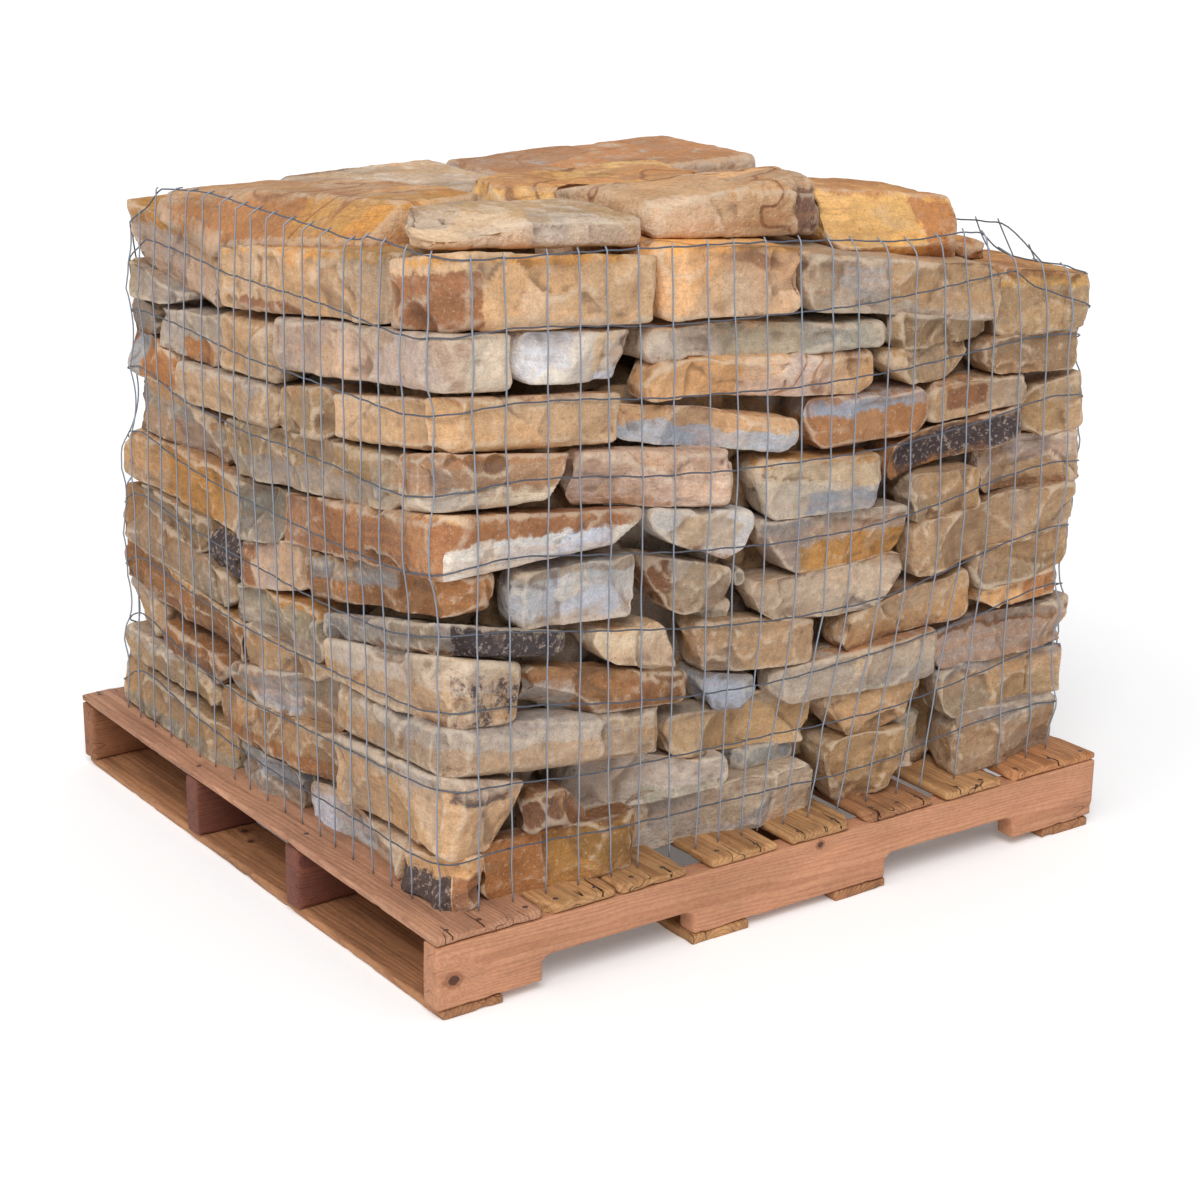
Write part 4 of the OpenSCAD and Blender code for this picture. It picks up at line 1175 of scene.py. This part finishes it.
# splits run in from the ends along the grain
splitField = cloud(t, scaled(t, shifted, (2.5, 26, 26)), 1, 1, 0.5)
splitLine = fromTo(t, apart(t, splitField, 0.5), 0.0, 0.008, 1.0, 0.0)
splitReach = fromTo(t, around(t, stain, 0.22, ends), 0.0, 0.03, 1.0, 0.0)
split = times(t, splitLine, times(t, splitReach, toneNode["Alpha"]))
base = mixed(t, split, base, shade(38, 22, 18))
base = laid(t, knotRing, 0.55, base, shade(120, 62, 38))
base = laid(t, knotCore, 0.9, base, shade(62, 30, 22))
t.links.new(base, wanted["Color"])
t.links.new(calc(t, "MULTIPLY_ADD", fibre, 0.2, 0.58), wanted["Roughness"])
height = calc(t, "MULTIPLY_ADD", fibre, 0.5, times(t, lateWood, 0.25))
height = calc(t, "MULTIPLY_ADD", dust, 0.8, height)
height = calc(t, "MULTIPLY_ADD", split, -2.5, height)
height = calc(t, "MULTIPLY_ADD", knotCore, -1.2, height)
height = calc(t, "MULTIPLY_ADD", sawing, 0.5, height)
t.links.new(calc(t, "MULTIPLY_ADD", stain, 0.6, height), wanted["Height"])

planedWood = coated("planedWood", timberGroup, {"Ring_Width": 0.0035, "Saw_Marks": 0.15}, 0.0006, 0.3)
roughWood = coated("roughWood", timberGroup, {"Ring_Width": 0.006, "Saw_Marks": 1.0}, 0.0014, 0.3)
# the maroon pair is a darker copy of the stringers' wood: painted shade for the inner stringers
woods = {"red": (shade(196, 142, 108), shade(170, 114, 84)), "pink": (shade(186, 138, 108), shade(154, 104, 78)),
         "straw": (shade(190, 144, 98), shade(150, 102, 62)), "tawny": (shade(174, 124, 86), shade(136, 88, 58)),
         "brown": (shade(150, 100, 68), shade(112, 70, 48)), "amber": (shade(188, 132, 88), shade(142, 88, 52)),
         "shadedMaroon": (shade(118, 70, 54), shade(84, 46, 40))}


timberWork = {"quickVoxel": 0.0085, "kept": 0.13, "quickKept": 0.3}


def makeTimber(name, node, lengthwise, wood, seed, material, knots=(), splits=0.8, grime=0.35, cuts=(),
               warp=0.0012, voxel=0.0042):
    # lengthwise is the axis the grain follows: 0 is x and 1 is y
    draw = np.random.default_rng(seed)
    solid = solidsOf(node)[0]
    low, high = solid["points"].min(0), solid["points"].max(0)
    across = 1 - lengthwise
    if material is planedWood:
        across, through = 2, 1 - lengthwise
    else:
        through = 2
    points, quads = modified(solid["points"], solid["faces"], "REMESH",
                             {"mode": "VOXEL", "voxel_size": voxel,
                              "adaptivity": 0.0})
    for n, corner, depth in cuts:
        n = unit(n)
        at = np.where(np.array(corner) > 0, high, low)
        away = (points - at) @ n + 0.002 * noise(points, 0.012, seed)
        points = points - np.outer(np.maximum(away + depth, 0), n)
    points = relaxed(points, quads, 2)
    # sawn faces are never quite flat, and edges are nibbled
    normal = pointNormals(points, quads)
    near = np.sort(np.minimum(points - low, high - points), axis=1)[:, 1]
    stretchedPoints = points.copy()
    stretchedPoints[:, lengthwise] *= 0.3
    nibble = np.maximum(noise(points, 0.022, seed + 2) - 0.25, 0) * np.exp(-near / 0.004) * 0.006
    points = points + normal * (warp * noise(stretchedPoints, 0.06, seed) - nibble)[:, None]
    points, faces = modified(points, quads, "DECIMATE", {"ratio": timberWork["kept"]})
    mesh = newMesh(name, points, faces)
    mesh.shade_smooth()
    local = points - low
    grain = np.stack([local[:, lengthwise], local[:, across], local[:, through]], 1).astype(np.float32)
    wide = (high - low)[across]
    logPlace = (wide * draw.uniform(0.2, 0.8), -draw.uniform(0.01, 0.05), draw.uniform(0, 9))
    for label, values in (("grain", grain), ("log", np.tile(logPlace, (len(points), 1)))):
        mark(mesh, label, values)
    length = (high - low)[lengthwise]
    spots = list(knots)
    while len(spots) < 2:
        spots.append((draw.uniform(0.1, length - 0.1), draw.uniform(0.2, 0.8) * wide, draw.uniform(0.004, 0.010)))
    for label, spot in zip(("knotA", "knotB"), spots):
        offset = np.stack([grain[:, 0] - spot[0], grain[:, 1] - spot[1], np.full(len(points), spot[2])], 1)
        mark(mesh, label, offset)
    toEnd = np.minimum(local[:, lengthwise], length - local[:, lengthwise])
    mark(mesh, "ends", toEnd)
    light, dark = woods[wood]
    tint = draw.uniform(0.94, 1.05)
    for label, tone, extra in (("tone", light, splits), ("second", dark, grime)):
        mark(mesh, label, np.tile((tone[0] * tint, tone[1] * tint, tone[2] * tint, extra), (len(points), 1)))
    mesh.materials.append(material)
    piece = linked(name, mesh)
    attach(piece, "root")
    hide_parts(node)
    return len(faces)


total = 0
# the two inner stringers, which lie in shade under the deck, get the darker maroon wood: painted shade
for i, wood in enumerate(["red", "shadedMaroon", "shadedMaroon", "brown"]):
    knots = [(0.026, 0.042, 0.010), (0.66, 0.085, 0.006)] if i == 0 else []
    total += makeTimber(f"stringer_{i + 1}_sawn", f"stringer_{i + 1}", 0, wood, 40 + i, planedWood,
                        knots, 0.5, 0.2)
deckCuts = {
    2: [((-0.8, -0.5, 0.3), (0, 0, 1), 0.018)],
    3: [((-0.6, -0.7, 0.5), (0, 0, 1), 0.012)],
    5: [((0.7, -0.6, 0.4), (1, 0, 1), 0.016), ((0.3, -0.3, 0.9), (1, 0, 1), 0.008)],
    6: [((-0.7, -0.6, 0.5), (0, 0, 1), 0.014)],
    8: [((-0.75, -0.6, 0.45), (0, 0, 1), 0.016)],
}
for i, wood in enumerate(["pink", "straw", "straw", "straw", "straw", "tawny", "straw", "amber"]):
    total += makeTimber(f"deck_board_{i + 1}_sawn", f"deck_board_{i + 1}", 1, wood, 60 + i, roughWood,
                        [], 1.0, 0.45, deckCuts.get(i + 1, ()), 0.0014)
for i, wood in enumerate(["tawny", "straw", "tawny", "tawny"]):
    total += makeTimber(f"bottom_board_{i + 1}_sawn", f"bottom_board_{i + 1}", 1, wood, 80 + i,
                        roughWood, [], 0.8, 0.5)

# nail heads, and the dark splits that run in from the boards' ends past the nails
nailPoints, nailFaces, splitPoints, splitFaces = [], [], [], []
draw = np.random.default_rng(77)


def addNail(place, normal):
    normal = unit(normal)
    side = unit(np.cross(normal, (0.3, 0.9, 0.1)))
    other = np.cross(normal, side)
    start = len(nailPoints)
    for radius, rise in ((0.0042, -0.0004), (0.0040, 0.0005), (0.0024, 0.0009)):
        for k in range(10):
            turnBy = k * math.pi / 5
            nailPoints.append(place + radius * (math.cos(turnBy) * side + math.sin(turnBy) * other) + rise * normal)
    for row in (0, 1):
        for k in range(10):
            a, b = start + row * 10 + k, start + row * 10 + (k + 1) % 10
            nailFaces.append((a, b, b + 10, a + 10))
    nailFaces.append(tuple(start + 20 + k for k in range(10)))


def addSplit(surface, x, frontY, lowZ, topZ, reach, width, sign):
    # a dark strip up the board's end and along its upper side
    path = [(frontY - sign * 0.004, lowZ + f * (topZ - lowZ)) for f in (0.15, 0.5, 0.8)]
    path += [(frontY + sign * reach * f, topZ + 0.004) for f in (0.03, 0.12, 0.3, 0.5, 0.7, 0.86, 1.0)]
    start = len(splitPoints)
    sway = draw.normal(0, 0.0007, len(path)).cumsum()
    for i, (y, z) in enumerate(path):
        half = width * (0.7 if i < 3 else 1 - 0.93 * ((i - 2) / 7) ** 1.5) / 2
        for edge in (-1, 1):
            at = Vector((x + sway[i] + edge * half, y, z))
            way = Vector((0, sign, 0)) if i < 3 else Vector((0, 0, -1))
            at = at - way * 0.01
            hit = surface.ray_cast(at, way, 0.04)[0]
            splitPoints.append(np.array(hit if hit else at + way * 0.01) - np.array(way) * 0.0003)
    for i in range(len(path) - 1):
        a = start + 2 * i
        splitFaces.append((a, a + 1, a + 3, a + 2))


for i in range(1, 9):
    low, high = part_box(f"deck_board_{i}")
    sawn = bpy.data.objects[f"deck_board_{i}_sawn"].data
    surface = BVHTree.FromPolygons([v.co for v in sawn.vertices], [tuple(p.vertices) for p in sawn.polygons])
    wide = high[0] - low[0]
    shares = (0.14, 0.5, 0.86) if wide > 0.125 else (0.22, 0.78)
    for k in range(1, 5):
        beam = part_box(f"stringer_{k}")
        middle = (beam[0][1] + beam[1][1]) / 2
        for share in shares:
            x = low[0] + wide * share + draw.normal(0, 0.004)
            y = middle + draw.normal(0, 0.003)
            hit, normal = surface.ray_cast(Vector((x, y, high[2] + 0.02)), Vector((0, 0, -1)), 0.05)[:2]
            addNail(np.array(hit), np.array(normal))
            if k in (1, 4) and draw.random() < 0.75:
                sign = 1 if k == 1 else -1
                addSplit(surface, x, low[1] if k == 1 else high[1], low[2], high[2], draw.uniform(0.028, 0.06),
                         draw.uniform(0.0022, 0.0042), sign)
steel, t, surface = newMaterial("nailSteel")
rust = cloud(t, put(t, "ShaderNodeTexCoord").outputs["Object"], 160, 4, 0.6)
t.links.new(mixed(t, fromTo(t, rust, 0.4, 0.6), shade(86, 82, 82), shade(112, 74, 52)), surface.inputs["Base Color"])
t.links.new(fromTo(t, rust, 0.35, 0.65, 0.4, 0.8), surface.inputs["Roughness"])
surface.inputs["Metallic"].default_value = 0.6
crack, t, surface = newMaterial("darkSplit")
depthTone = cloud(t, put(t, "ShaderNodeTexCoord").outputs["Object"], 220, 3, 0.6)
t.links.new(mixed(t, depthTone, shade(30, 18, 14), shade(66, 40, 28)), surface.inputs["Base Color"])
surface.inputs["Roughness"].default_value = 0.95
surface.inputs["Specular IOR Level"].default_value = 0.05
for name, points, faces, material in (("nail_heads", nailPoints, nailFaces, steel),
                                      ("board_splits", splitPoints, splitFaces, crack)):
    mesh = newMesh(name, points, faces)
    mesh.materials.append(material)
    if name == "nail_heads":
        mesh.shade_smooth()
    piece = linked(name, mesh)
    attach(piece, "root")
report(f"pallet made, {total} triangles")

# floor, light and camera

studio = {"floorSize": 60.0, "floorGlow": 0.12, "keyStrength": 1.75, "keySpread": 32, "sideStrength": 0.6,
          "sideSpread": 50, "surround": 0.52}
floorMaterial, tree, surface = newMaterial("paleFloor")
surface.inputs["Base Color"].default_value = (0.95, 0.95, 0.95, 1)
surface.inputs["Roughness"].default_value = 0.9
surface.inputs["Specular IOR Level"].default_value = 0.1
surface.inputs["Emission Color"].default_value = (1, 1, 1, 1)
surface.inputs["Emission Strength"].default_value = studio["floorGlow"]
floorSize = studio["floorSize"]
floor = linked("floor", newMesh("floor", [(-floorSize, -floorSize, 0), (floorSize, -floorSize, 0),
                                          (floorSize, floorSize, 0), (-floorSize, floorSize, 0)], [(0, 1, 2, 3)]))
floor.data.materials.append(floorMaterial)


def softSun(name, towards, strength, spread):
    lamp = bpy.data.lights.new(name, "SUN")
    lamp.energy = strength
    lamp.angle = math.radians(spread)
    piece = bpy.data.objects.new(name, lamp)
    bpy.context.collection.objects.link(piece)
    piece.rotation_euler = Vector(towards).to_track_quat("-Z", "Y").to_euler()


softSun("keyLight", (0.40, 0.60, -0.80), studio["keyStrength"], studio["keySpread"])
softSun("sideLight", (0.85, 0.10, -0.62), studio["sideStrength"], studio["sideSpread"])

world = bpy.data.worlds.new("studio")
bpy.context.scene.world = world
world.use_nodes = True
tree = world.node_tree
tree.nodes.clear()
path = put(tree, "ShaderNodeLightPath").outputs
seen = calc(tree, "MAXIMUM", path["Is Camera Ray"],
            calc(tree, "MAXIMUM", path["Is Glossy Ray"], path["Is Transmission Ray"]))
softLight = put(tree, "ShaderNodeBackground", None, Color=(0.97, 0.98, 1.0, 1), Strength=studio["surround"])
white = put(tree, "ShaderNodeBackground", None, Color=(1, 1, 1, 1), Strength=1.0)
either = put(tree, "ShaderNodeMixShader")
tree.links.new(seen, either.inputs[0])
tree.links.new(softLight.outputs[0], either.inputs[1])
tree.links.new(white.outputs[0], either.inputs[2])
tree.links.new(either.outputs[0], put(tree, "ShaderNodeOutputWorld").inputs["Surface"])

view = {"lens": 79.5, "place": (-2.2605, -3.3435, 1.666), "azimuth": 34.64, "below": 18.28, "roll": 0.18}
camera = bpy.data.cameras.new("camera")
camera.lens = view["lens"]
camera.sensor_width = 36
camera.sensor_height = 36
camera.clip_end = 50
eye = bpy.data.objects.new("camera", camera)
bpy.context.collection.objects.link(eye)
eye.location = view["place"]
azimuth, below = math.radians(view["azimuth"]), math.radians(view["below"])
ahead = Vector((math.sin(azimuth) * math.cos(below), math.cos(azimuth) * math.cos(below), -math.sin(below)))
turn = ahead.to_track_quat("-Z", "Y").to_matrix().to_4x4()
eye.rotation_euler = turn.to_euler()
eye.rotation_euler.rotate_axis("Z", math.radians(view["roll"]))
bpy.context.scene.camera = eye
bpy.context.scene.view_settings.view_transform = "Standard"
report("stage set")
